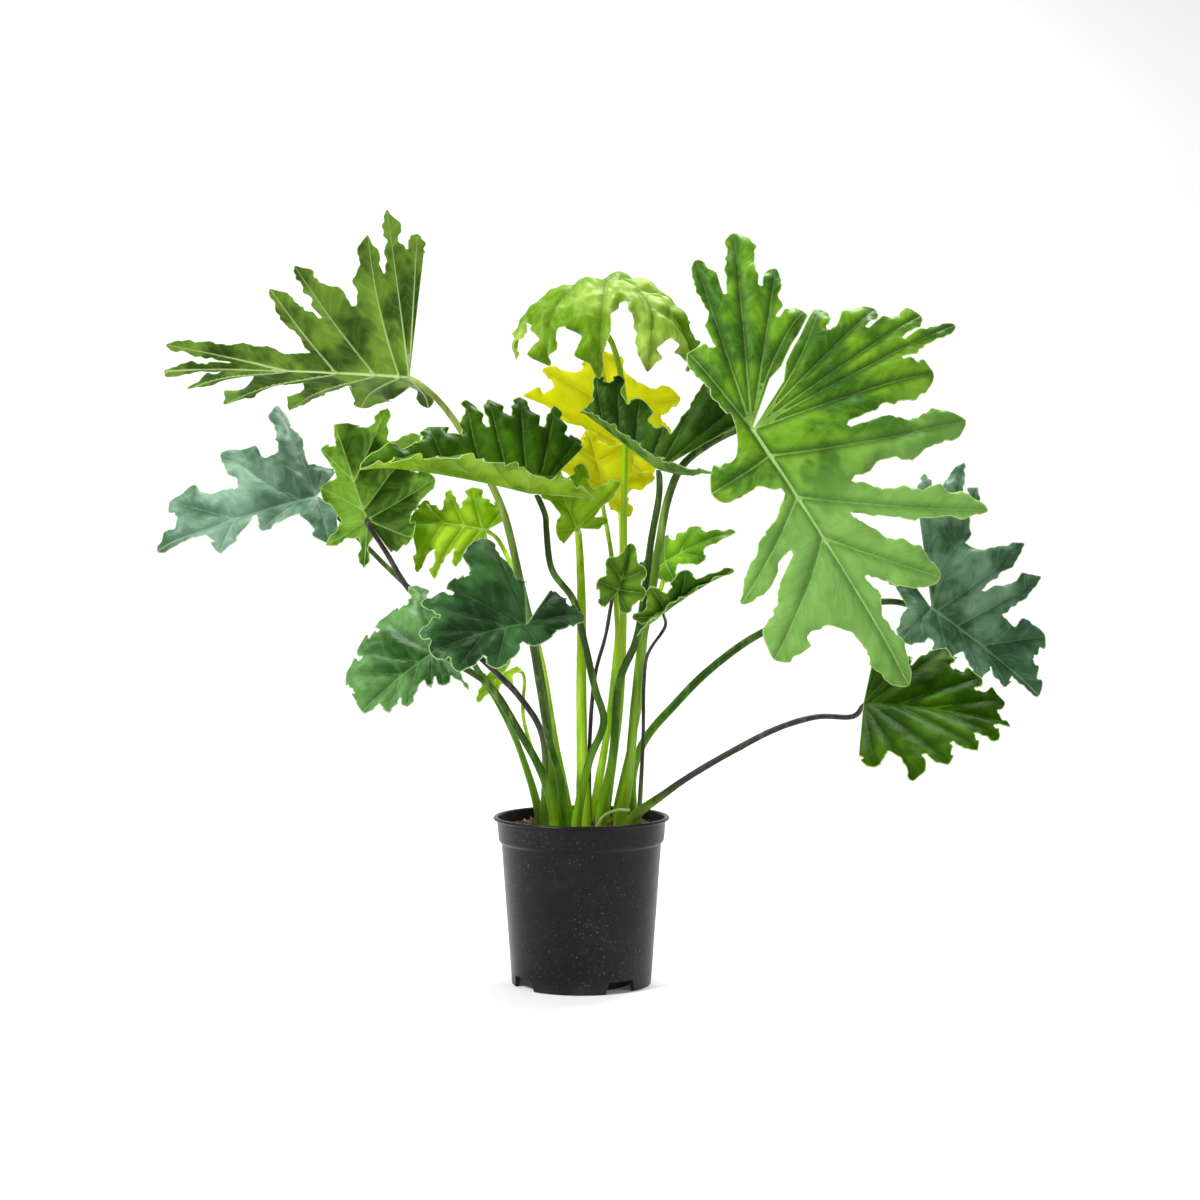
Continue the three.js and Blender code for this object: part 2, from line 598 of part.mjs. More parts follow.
// Fills the strip between a rib and a margin with triangles that all face the same way,
// by trying every way to step along the two and keeping the one with the shortest crossings.
function stripTriangles(rib, margin, clockwise) {
  const turn = clockwise ? -1 : 1;
  const folded = 1e6;
  const cost = (a, b, c, crossing) => {
    const area = turn * cross(minus(b.flat, a.flat), minus(c.flat, a.flat));
    return size(minus(crossing[0].flat, crossing[1].flat)) + (area > 1e-7 ? 0 : folded);
  };
  const best = rib.map(() => margin.map(() => ({ cost: Infinity, triangles: [] })));
  best[0][0].cost = 0;
  rib.forEach((r, i) => margin.forEach((m, j) => {
    const here = best[i][j];
    const steps = [];
    if (rib[i + 1]) steps.push([best[i + 1][j], [r, rib[i + 1], m], [rib[i + 1], m]]);
    if (margin[j + 1]) steps.push([best[i][j + 1], [r, margin[j + 1], m], [r, margin[j + 1]]]);
    for (const [next, triangle, crossing] of steps) {
      const total = here.cost + cost(...triangle, crossing);
      if (total < next.cost) {
        next.cost = total;
        next.triangles = [...here.triangles, triangle];
      }
    }
  }));
  const { triangles } = best[rib.length - 1][margin.length - 1];
  return clockwise ? triangles.map((triangle) => triangle.toReversed()) : triangles;
}

// Bends the flat leaf: each half is folded up along the midrib, and the whole droops away from the stalk.
function bentPoint(leaf, [x, y]) {
  const radius = Math.hypot(x, y);
  const fold = degrees(leaf.fold[y > 0 ? 0 : 1]);
  const folded = [x, y * Math.cos(fold), Math.abs(y) * Math.sin(fold)];
  if (radius < 1e-9) return folded;
  const forward = x / radius;
  const sideways = Math.abs(y) / radius;
  const end = forward > 0 ? leaf.droop.tip : leaf.droop.ear;
  const bend = degrees(end * forward ** 2 + leaf.droop.side * sideways ** 2);
  const angle = bend * radius;
  if (Math.abs(angle) < 1e-6) return folded;
  const flatScale = Math.sin(angle) / angle;
  return [folded[0] * flatScale, folded[1] * flatScale, folded[2] * flatScale + (Math.cos(angle) - 1) / bend];
}

// The direction out of the bent leaf's upper face. On the midrib it is the mean of the two halves'.
function bladeNormal(leaf, [x, y]) {
  const step = 1e-3;
  const sides = y === 0 ? [-1, 1] : [Math.sign(y)];
  const normal = new THREE.Vector3();
  for (const side of sides) {
    const here = vector(bentPoint(leaf, [x, y + side * 1e-6]));
    const ahead = vector(bentPoint(leaf, [x + step, y + side * 1e-6])).sub(here);
    const beside = vector(bentPoint(leaf, [x, y + side * step])).sub(here);
    normal.addScaledVector(ahead.cross(beside).normalize(), side);
  }
  return normal.normalize();
}

// The leaf's own axes: along the midrib from joint to tip, to its left, and out of its upper face.
function leafFrame(leaf) {
  const chord = vector(leaf.tip).sub(vector(leaf.at));
  const end = bentPoint(leaf, [1, 0]);
  const length = chord.length() / Math.hypot(end[0], end[2]);
  const dip = Math.atan2(-end[2], end[0]);
  const along = chord.normalize();
  const face = vector(leaf.face);
  face.addScaledVector(along, -face.dot(along)).normalize();
  const forward = along.clone().multiplyScalar(Math.cos(dip)).addScaledVector(face, Math.sin(dip));
  const normal = face.clone().multiplyScalar(Math.cos(dip)).addScaledVector(along, -Math.sin(dip));
  const left = new THREE.Vector3().crossVectors(normal, forward);
  return { forward, left, normal, length };
}

function bladeSolid(leaf) {
  const { forward, left, normal, length } = leafFrame(leaf);
  const plan = leaf.plan;
  const vertices = new Map();
  const points = [];
  const normals = [];
  const triangles = [];
  const inSpace = (local) => new THREE.Vector3()
    .addScaledVector(forward, local.x)
    .addScaledVector(left, local.y)
    .addScaledVector(normal, local.z);
  const indexOf = ({ flat, key, lift }) => {
    if (!vertices.has(key)) {
      vertices.set(key, points.length);
      const up = bladeNormal(leaf, flat);
      const local = vector(bentPoint(leaf, flat)).addScaledVector(up, lift);
      points.push(inSpace(local).multiplyScalar(length).add(vector(leaf.at)));
      normals.push(inSpace(up));
    }
    return vertices.get(key);
  };
  const addHalf = (lobe, where) => {
    const { rib, margin } = halfLobe(leaf, lobe, where);
    const clockwise = where.sign > 0 ? where.half === 1 : where.half === 0;
    for (const triangle of stripTriangles(rib, margin, clockwise)) {
      const corners = triangle.map(indexOf);
      if (new Set(corners).size === 3) triangles.push(corners);
    }
  };
  const sides = [1, -1].map((sign) => sideLobes(plan, sign, leaf));
  const tipGaps = sides.map((lobes) => lobes[lobes.length - 2].gap);
  const back = backDivider(sides[0][0], sides[1][0]);
  sides.forEach((lobes, n) => {
    const sign = n === 0 ? 1 : -1;
    lobes.forEach((lobe, k) => {
      const before = lobes[k - 1];
      const after = lobes[k + 1];
      const gaps = after ? [before?.gap, lobe.gap].filter(Boolean) : tipGaps;
      const mean = gaps.reduce((sum, gap) => sum + reachOf(lobe, gap), 0) / gaps.length;
      const web = limited(mean, ...WEB_LIMITS);
      let [gap, from, divider] = [null, null, back];
      if (before) {
        gap = before.gap;
        from = between(before, lobe);
        divider = dividerAt(gap, before, lobe);
      } else {
        const rib = ribPoint(lobe, web);
        gap = minus(rib, minus(lobe.gap, rib).map((value) => value * leaf.sinus));
        if (leaf.bare > 0) gap = beside(lobe, leaf.bare + BARE_END, sign * leaf.finger);
      }
      addHalf(lobe, { k, sign, half: 0, web, gap, from, divider });
      if (after) {
        const next = { gap: lobe.gap, from: between(lobe, after), divider: dividerAt(lobe.gap, lobe, after) };
        addHalf(lobe, { k, sign, half: 1, web, ...next });
      }
    });
  });
  return thickened(points, normals, triangles, BLADE_THICKNESS);
}

// Gives a sheet of triangles its thickness: the same triangles on both faces, and a wall round the margin.
function thickened(sheet, normals, triangles, thickness) {
  const offset = (sign) => sheet.map((point, i) => (
    point.clone().addScaledVector(normals[i], (sign * thickness) / 2).toArray()
  ));
  const count = sheet.length;
  const faces = [];
  const edges = new Map();
  for (const [a, b, c] of triangles) {
    faces.push([a, b, c], [a + count, c + count, b + count]);
    for (const [from, to] of [[a, b], [b, c], [c, a]]) {
      if (edges.has(`${to} ${from}`)) edges.delete(`${to} ${from}`);
      else edges.set(`${from} ${to}`, [from, to]);
    }
  }
  for (const [from, to] of edges.values()) {
    faces.push([from, from + count, to + count], [from, to + count, to]);
  }
  return { points: [...offset(1), ...offset(-1)], faces };
}

// The ways a blade can grow: how its lobes are rounded, waved and drooped, as fractions of its length.
// Finger is the most that a lobe stands out on either side of its rib, past the gaps beside it.
// Bare is the share of a first ear's rib that has no blade on the side behind the joint.
// Fold is the angle of the left and right half above flat, and droop is the bend over one length.
const GROWTH = {
  width: [1, 1],
  vary: 0.05,
  rows: 3,
  blunt: 2.6,
  notch: 0.3,
  finger: 1,
  scallop: 0.16,
  puff: 0.025,
  ruffle: 0.035,
  waves: 1.5,
  hang: 0.03,
  sinus: 0.8,
  bare: 0,
  gap: 0.35,
  fold: [10, 10],
  droop: { tip: 20, side: 12, ear: 20 },
};

// Each leaf: where its blade joins the stalk, where its tip is and where its upper face looks,
// then the stalk's base, its radii at the base, along its length and at the top, and the points it passes.
const LEAVES = {
  upper_left: {
    at: [-190, 70, 655], tip: [-451, 20, 661], face: [0, 0.88, 0.45], seed: 3,
    fold: [4, 50], droop: { tip: 10, side: 10, ear: 10 }, finish: "leaf_green",
    base: [-30, 12], stalk: "stalk_dark", radii: [8, 4.6, 3.2],
    through: [[-35, 14, 261], [-50, 22, 357], [-67, 28, 433], [-86, 36, 509], [-116, 50, 569],
      [-150, 62, 621]],
  },
  far_left: {
    at: [-300, 125, 524], tip: [-473, 80, 466], face: [0, -0.85, 0.5], seed: 5,
    fold: [8, 8], finish: "leaf_dark",
    base: [-46, 18], stalk: "stalk_dark", radii: [6, 3.4, 2.6],
    through: [[-70, 40, 253], [-101, 65, 311], [-159, 100, 387], [-228, 118, 454], [-268, 128, 494]],
  },
  left: {
    at: [-234, 40, 498], tip: [-272, 70, 603], face: [-0.1, 0.95, 0.1], seed: 7,
    fold: [12, 12], droop: { tip: 15, side: 10, ear: 15 }, finish: "leaf_green",
    base: [-40, -7], stalk: "stalk_dark", radii: [5.5, 3.4, 2.6],
    through: [[-42, -11, 268], [-66, -8, 308], [-99, 0, 341], [-148, 15, 385], [-187, 28, 422],
      [-214, 34, 465]],
  },
  centre_left: {
    at: [-46, -60, 525], tip: [-224, -120, 554], face: [0, 0, 1], notch: 0.2, seed: 11,
    fold: [20, 70], droop: { tip: 10, side: 10, ear: 10 }, finish: "leaf_dark",
    base: [-5, -42], stalk: "stalk_dark", radii: [6.5, 4, 3],
    through: [[9, -45, 244], [24, -46, 285], [15, -50, 319], [3, -55, 372], [-8, -60, 414], [-30, -64, 445],
      [-36, -62, 487]],
  },
  young_left: {
    at: [-105, 75, 487], tip: [-200, 85, 498], face: [0, -0.85, 0.4], seed: 13,
    ruffle: 0.07, droop: { tip: 20, side: 10, ear: 10 }, finish: "leaf_young",
    base: [-14, 32], stalk: "stalk_green", radii: [5.5, 3.2, 2.4],
    through: [[-29, 52, 257], [-47, 70, 355], [-69, 74, 425]],
  },
  lower_left: {
    at: [-150, -90, 361], tip: [-222, -130, 302], face: [-0.1, -0.8, 0.5], notch: 0.14, seed: 17,
    fold: [8, 8], droop: { tip: 25, side: 15, ear: 20 }, finish: "leaf_dark",
    base: [-27, -30], stalk: "stalk_dark", radii: [9, 4.4, 3],
    through: [[-38, -38, 222], [-67, -58, 279], [-97, -68, 326]],
  },
  lower_front: {
    at: [-54, -150, 392], tip: [-147, -200, 366], face: [-0.1, -0.85, 0.5], notch: 0.14, seed: 19,
    fold: [8, 8], droop: { tip: 25, side: 15, ear: 25 }, sinus: 0.4, finish: "leaf_dark",
    base: [-17, -13], stalk: "stalk_dark", radii: [6.5, 4, 3],
    through: [[-23, -22, 223], [-34, -50, 267], [-42, -90, 322]],
  },
  top: {
    at: [20, 0, 750], tip: [118, -20, 655], face: [0, -0.2, 1], plan: "umbrella", seed: 23,
    fold: [12, 12], droop: { tip: 90, side: 105, ear: 80 }, gap: 1.2, ruffle: 0.06, finish: "leaf_young",
    base: [26, 24], stalk: "stalk_green", radii: [6.5, 4, 2.6],
    through: [[42, 28, 302], [46, 22, 520], [46, 12, 627], [34, 8, 685]],
  },
  back: {
    at: [40, 122, 579], tip: [22, 106, 688], face: [0, -0.9, 0.3], seed: 29,
    droop: { tip: 15, side: 15, ear: 10 }, finish: "leaf_young",
    base: [14, 46], stalk: "stalk_green", radii: [6.5, 4, 2.8],
    through: [[33, 78, 299], [45, 122, 454]],
  },
  centre_right: {
    at: [82, -70, 550], tip: [1, -60, 612], face: [0, -0.1, 1], seed: 31,
    fold: [22, 65], droop: { tip: 0, side: 0, ear: -50 }, finish: "leaf_dark",
    base: [20, -12], stalk: "stalk_dark", radii: [7, 4.4, 3.2],
    through: [[33, -20, 242], [41, -35, 328], [58, -50, 371], [67, -62, 424], [73, -70, 474]],
  },
  great_right: {
    at: [177, -90, 590], tip: [334, -150, 330], face: [-0.15, -0.85, 0.5], seed: 37,
    fold: [6, 6], blunt: 4.5, notch: 0.06, finger: 0.085, vary: 0, rows: 4, sinus: 0.5, bare: 0.4,
    droop: { tip: 20, side: 12, ear: -12 }, finish: "leaf_green",
    base: [42, -10], stalk: "stalk_green", radii: [8.5, 5, 3.4],
    through: [[50, -12, 220], [58, -20, 306], [65, -30, 370], [75, -40, 424], [83, -50, 476],
      [91, -50, 518], [107, -46, 555], [141, -50, 581]],
  },
  far_right: {
    at: [385, 60, 401], tip: [501, 40, 306], face: [0.1, -0.95, 0.3], seed: 41,
    notch: 0.16, finger: 0.15, finish: "leaf_dark",
    base: [54, 10], stalk: "stalk_dark", radii: [8, 4.6, 3.2],
    through: [[55, 10, 224], [69, 12, 261], [101, 20, 298], [139, 30, 335], [200, 48, 376], [290, 66, 403],
      [345, 74, 408]],
  },
  lower_right: {
    at: [290, -110, 308], tip: [435, -150, 291], face: [0, -0.75, 0.65], notch: 0.14, seed: 43,
    finish: "leaf_green",
    base: [52, -42], stalk: "stalk_dark", radii: [7.5, 3.6, 2.6],
    through: [[60, -45, 188], [86, -60, 209], [111, -70, 228], [157, -84, 257], [206, -94, 283],
      [245, -94, 294]],
  },
  centre: {
    at: [-5, 15, 489], tip: [-33, 0, 552], face: [0, -1, 0.2], seed: 47,
    fold: [20, 20], ruffle: 0.07, droop: { tip: 10, side: 10, ear: 10 }, finish: "leaf_young",
    base: [2, -16], stalk: "stalk_green", radii: [9, 6, 3.4],
    through: [[0, -8, 305], [0, 10, 412]],
  },
  behind_right: {
    at: [87, 20, 449], tip: [165, 0, 487], face: [0, -0.6, 0.8], plan: "lobed", seed: 53,
    width: [0.9, 0.9], finish: "leaf_green",
    base: [38, 32], stalk: "stalk_green", radii: [5.5, 3.4, 2.4],
    through: [[64, 40, 302], [72, 34, 389]],
  },
  rolled_right: {
    at: [85, -80, 400], tip: [157, -108, 446], face: [0, -0.8, 0.6], plan: "lobed", seed: 59,
    fold: [60, 60], width: [0.7, 0.7], finish: "leaf_green",
    base: [62, -12], stalk: "stalk_dark", radii: [3.5, 2, 1.6],
    through: [[66, -16, 261], [67, -36, 332], [71, -58, 359]],
  },
  cupped: {
    at: [38, -78, 422], tip: [53, -90, 473], face: [0.2, -0.9, 0.3], plan: "rounded", seed: 61,
    fold: [30, 30], finish: "leaf_green",
    base: [8, 12], stalk: "stalk_dark", radii: [4, 2.2, 1.8],
    through: [[9, -4, 261], [15, -34, 334], [26, -60, 377]],
  },
  low_back: {
    at: [-86, 92, 329], tip: [-118, 95, 295], face: [-0.3, -0.7, 0.6], plan: "lobed", seed: 67,
    finish: "leaf_young",
    base: [-30, 38], stalk: "stalk_green", radii: [3.5, 2.2, 1.8],
    through: [[-52, 66, 235], [-66, 96, 280]],
  },
  inner_right: {
    at: [24, 62, 533], tip: [6, 52, 597], face: [0, -0.8, 0.5], seed: 71,
    fold: [15, 15], ruffle: 0.06, droop: { tip: 25, side: 20, ear: 10 }, finish: "leaf_young",
    base: [24, 4], stalk: "stalk_green", radii: [4.5, 3, 2.2],
    through: [[35, 0, 261], [39, 0, 368], [33, 34, 455]],
  },
};

// The stalk stands straight up out of the soil, bends along its points and meets the blade from below.
function stalkCurve(leaf) {
  const { forward, normal } = leafFrame(leaf);
  const joint = vector(leaf.at).addScaledVector(normal, -(BLADE_THICKNESS / 2 + leaf.gap));
  const arrival = normal.clone().multiplyScalar(ARRIVAL.outOfFace);
  arrival.addScaledVector(forward, ARRIVAL.alongMidrib).normalize();
  const neck = joint.clone().addScaledVector(arrival, -NECK_LENGTH);
  const upright = [-ROOTED_DEPTH, -ROOTED_DEPTH / 4, STRAIGHT_RISE];
  const base = upright.map((height) => vector([...leaf.base, SOIL_TOP + height]));
  const points = [...base, ...leaf.through.map(vector), neck, joint];
  return { curve: new THREE.CatmullRomCurve3(points, false, "centripetal"), normal };
}

function stalkRadii([base, middle, top], length) {
  return (along) => {
    const sheath = Math.max(0, 1 - along / SHEATH_LENGTH) ** 1.5;
    const taper = along / length;
    const radius = middle + (top - middle) * taper ** 2 + (base - middle) * sheath;
    return [radius * (1 + (SHEATH_WIDENING - 1) * sheath), radius];
  };
}

// The rings of a stalk: one at its foot, one just above the soil, and the rest evenly up to the blade.
function stalkStops(length) {
  const first = ROOTED_DEPTH + STRAIGHT_RISE;
  const count = Math.max(6, Math.round((length - first) / STALK_STEP));
  const stops = [0];
  for (let i = 0; i <= count; i++) stops.push(first + ((length - first) * i) / count);
  return stops;
}

// A plain upright hole for what grows out of the soil.
function holeFor([x, y], radius) {
  const wide = radius / Math.cos(Math.PI / HOLE_SIDES) + HOLE_GAP;
  const bottom = SOIL_TOP - ROOTED_DEPTH - HOLE_GAP;
  const profile = [[0, bottom], [wide, bottom], [wide, POT_HEIGHT], [0, POT_HEIGHT]];
  return solidFrom(turned(profile, HOLE_SIDES)).translate([x, y, 0]);
}

let soil = soilSolid();
for (const [name, row] of Object.entries(LEAVES)) {
  const leaf = { ...GROWTH, ...row, plan: PLANS[row.plan ?? name] };
  const { curve, normal } = stalkCurve(leaf);
  const length = curve.getLength();
  const stalk = tube(curve, stalkStops(length), stalkRadii(leaf.radii, length), STALK_SIDES, normal);
  soil = soil.subtract(holeFor(leaf.base, leaf.radii[0] * SHEATH_WIDENING));
  const { points, faces } = bladeSolid(leaf);
  addMesh(`blade_${name}`, geometryFrom(points, faces), leaf.finish);
  addMesh(`stalk_${name}`, geometryFrom(stalk.points, stalk.faces), leaf.stalk);
}

// The aerial root arches out of the soil and ends against the foot of a stalk.
const AERIAL_ROOT = {
  radius: 1.7,
  taper: 0.3,
  rings: 9,
  sides: 6,
  points: [[15, -62, 148], [15, -62, 170], [23, -61, 186], [38, -59, 193], [51, -54, 192]],
};
const rootCurve = new THREE.CatmullRomCurve3(AERIAL_ROOT.points.map(vector), false, "centripetal");
const rootLength = rootCurve.getLength();
const rootStops = Array.from({ length: AERIAL_ROOT.rings }, (_, i) => (
  (rootLength * i) / (AERIAL_ROOT.rings - 1)
));
const rootRadii = (along) => {
  const radius = AERIAL_ROOT.radius * (1 - AERIAL_ROOT.taper * (1 - along / rootLength));
  return [radius, radius];
};
const root = tube(rootCurve, rootStops, rootRadii, AERIAL_ROOT.sides, null);
soil = soil.subtract(holeFor(AERIAL_ROOT.points[0], AERIAL_ROOT.radius));
addMesh("aerial_root", geometryFrom(root.points, root.faces), "root_pale");

addMesh("soil", geometryOf(soil), "potting_soil");
addMesh("pot", geometryOf(potSolid()), "pot_black");

export default plant;
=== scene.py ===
# %% [markdown]
# # A potted lacy tree philodendron
# The plant stands in a black nursery pot: soil, nineteen leaf stalks, and on each a blade cut into
# lobes almost to its midrib. The measured solids come first, as a fixed frame. Every piece below is
# then made again in fine detail in the very place of its solid, and painted.

# %% Load the measured solids
import math

import bmesh
import bpy
import numpy as np
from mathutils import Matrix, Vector, noise
from mathutils.geometry import delaunay_2d_cdt


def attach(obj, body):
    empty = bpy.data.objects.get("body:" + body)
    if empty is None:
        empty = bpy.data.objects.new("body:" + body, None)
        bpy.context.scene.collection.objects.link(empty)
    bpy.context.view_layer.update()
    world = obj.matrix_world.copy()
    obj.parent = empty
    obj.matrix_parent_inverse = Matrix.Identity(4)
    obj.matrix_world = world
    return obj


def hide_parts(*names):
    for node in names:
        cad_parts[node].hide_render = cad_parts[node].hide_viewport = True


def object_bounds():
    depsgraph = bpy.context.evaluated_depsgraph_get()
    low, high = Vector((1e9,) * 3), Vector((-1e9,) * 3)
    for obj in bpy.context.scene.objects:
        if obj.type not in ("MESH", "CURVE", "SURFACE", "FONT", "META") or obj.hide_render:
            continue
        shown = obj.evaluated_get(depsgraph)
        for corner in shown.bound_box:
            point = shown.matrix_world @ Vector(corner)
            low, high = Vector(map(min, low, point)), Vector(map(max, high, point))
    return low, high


MM = 0.001
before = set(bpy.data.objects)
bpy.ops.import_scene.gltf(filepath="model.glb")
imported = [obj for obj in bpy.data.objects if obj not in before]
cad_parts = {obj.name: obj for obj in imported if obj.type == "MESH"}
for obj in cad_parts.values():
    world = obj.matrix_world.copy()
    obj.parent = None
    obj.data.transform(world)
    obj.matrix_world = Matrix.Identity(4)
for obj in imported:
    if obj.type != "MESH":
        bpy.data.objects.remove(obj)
solid_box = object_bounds()
print("solids:", len(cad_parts), "box:", [[round(v, 3) for v in corner] for corner in solid_box])

# %% [markdown]
# ## The camera
# A camera at about the height of the middle leaves, two and a half metres away, sees the plant almost
# from the front. A long lens keeps the pot's sides nearly parallel, as in a catalogue picture.

# %% Camera
EYE, AIM, LENS = (0.020, -2.400, 0.480), (0.020, 0, 0.412), 67.08
stage_scene = bpy.context.scene
eye = bpy.data.objects.new("eye", bpy.data.cameras.new("eye"))
stage_scene.collection.objects.link(eye)
eye.location = EYE
eye.rotation_euler = (Vector(AIM) - eye.location).to_track_quat("-Z", "Y").to_euler()
eye.data.lens = LENS
eye.data.sensor_width = 36
stage_scene.camera = eye
print("camera at", [round(v, 3) for v in eye.location])

# %% [markdown]
# ## Writing materials as sums
# A material's pattern is a network of small nodes. Wrapping a node's output in a class with plus,
# minus and times lets the network be written as arithmetic, which is far easier to read and to change.

# %% Wires and graphs
class Wire:
    """One value in a node tree. Arithmetic on it adds Math nodes."""

    def __init__(self, graph, socket):
        self.graph = graph
        self.socket = socket

    def __add__(self, other):
        return self.graph.math("ADD", self, other)

    def __radd__(self, other):
        return self.graph.math("ADD", other, self)

    def __sub__(self, other):
        return self.graph.math("SUBTRACT", self, other)

    def __rsub__(self, other):
        return self.graph.math("SUBTRACT", other, self)

    def __mul__(self, other):
        return self.graph.math("MULTIPLY", self, other)

    def __rmul__(self, other):
        return self.graph.math("MULTIPLY", other, self)


class Graph:
    """A node tree, with one method that adds any node."""

    def __init__(self, tree):
        self.tree = tree

    def node(self, kind, settings=None, values=None, output=0):
        made = self.tree.nodes.new(kind)
        for name, value in (settings or {}).items():
            setattr(made, name, value)
        for name, value in (values or {}).items():
            if isinstance(value, Wire):
                self.tree.links.new(value.socket, made.inputs[name])
            else:
                made.inputs[name].default_value = value
        return Wire(self, made.outputs[output])

    def math(self, operation, *values):
        return self.node("ShaderNodeMath", {"operation": operation}, dict(enumerate(values)))

    def axis(self, vector, letter):
        return self.node("ShaderNodeSeparateXYZ", None, {0: vector}, output=letter)

    def scaled(self, vector, scale):
        return self.node("ShaderNodeVectorMath", {"operation": "SCALE"}, {0: vector, "Scale": scale})

# %% [markdown]
# ## Tools for painting
# Three things come back in every material: a noise, a soft step from one value to another, and a
# blend of two colours. Colours are written as on a colour chart and turned into light values.

# %% Paint
class Paint(Graph):
    """A material built from an empty node tree."""

    def __init__(self, name):
        self.material = bpy.data.materials.new(name)
        self.material.use_nodes = True
        super().__init__(self.material.node_tree)
        self.tree.nodes.clear()
        self.place = self.node("ShaderNodeTexCoord", output="Object")

    def noise(self, scale, detail=3.0, vector=None, rough=0.55):
        return self.node("ShaderNodeTexNoise", None, {
            "Vector": vector or self.place, "Scale": scale, "Detail": detail, "Roughness": rough})

    def step(self, value, low, high):
        return self.node("ShaderNodeMapRange", {"interpolation_type": "SMOOTHSTEP"}, {
            "Value": value, "From Min": low, "From Max": high})

    def blend(self, factor, one, two):
        return self.node("ShaderNodeMix", {"data_type": "RGBA"}, {0: factor, 6: one, 7: two}, output=2)

    def own(self, name):
        return self.node("ShaderNodeAttribute", {"attribute_name": name}, output="Fac")

    def stretched(self, x, y, z):
        return self.node("ShaderNodeMapping", None, {"Vector": self.place, "Scale": (x, y, z)})

    def bump(self, height, depth, strength=1.0):
        return self.node("ShaderNodeBump", None, {"Height": height, "Distance": depth, "Strength": strength})

    def surface(self, skin, rough, relief, shine, tint=(1, 1, 1, 1)):
        return self.node("ShaderNodeBsdfPrincipled", None, {
            "Base Color": skin, "Roughness": rough, "Normal": relief, "Specular IOR Level": shine,
            "Specular Tint": tint})

    def finished(self, shader):
        out = self.tree.nodes.new("ShaderNodeOutputMaterial")
        self.tree.links.new(shader.socket, out.inputs["Surface"])
        return self.material


def linear(part):
    """The chart's own curve, from a figure of the chart to a share of light."""
    return ((part + 0.055) / 1.055) ** 2.4 if part > 0.04045 else part / 12.92


def colour(code, share=1.0):
    """A colour chart's six figures as light values, or a share of them for a darker tone."""
    return (*(share * linear(int(code[i:i + 2], 16) / 255) for i in (0, 2, 4)), 1.0)


print("mid grey as light:", round(colour("808080")[0], 3))

# %% [markdown]
# ## Plans of the blades
# Each plan gives the lobes of one blade as fractions of its midrib's length, with the stalk's joint at
# 0, 0. A row says where a lobe's rib starts on the midrib, where its tip lies along and across, and
# where the gap after it lies. An ear, beside the stalk, is a lobe whose rib starts at the joint.

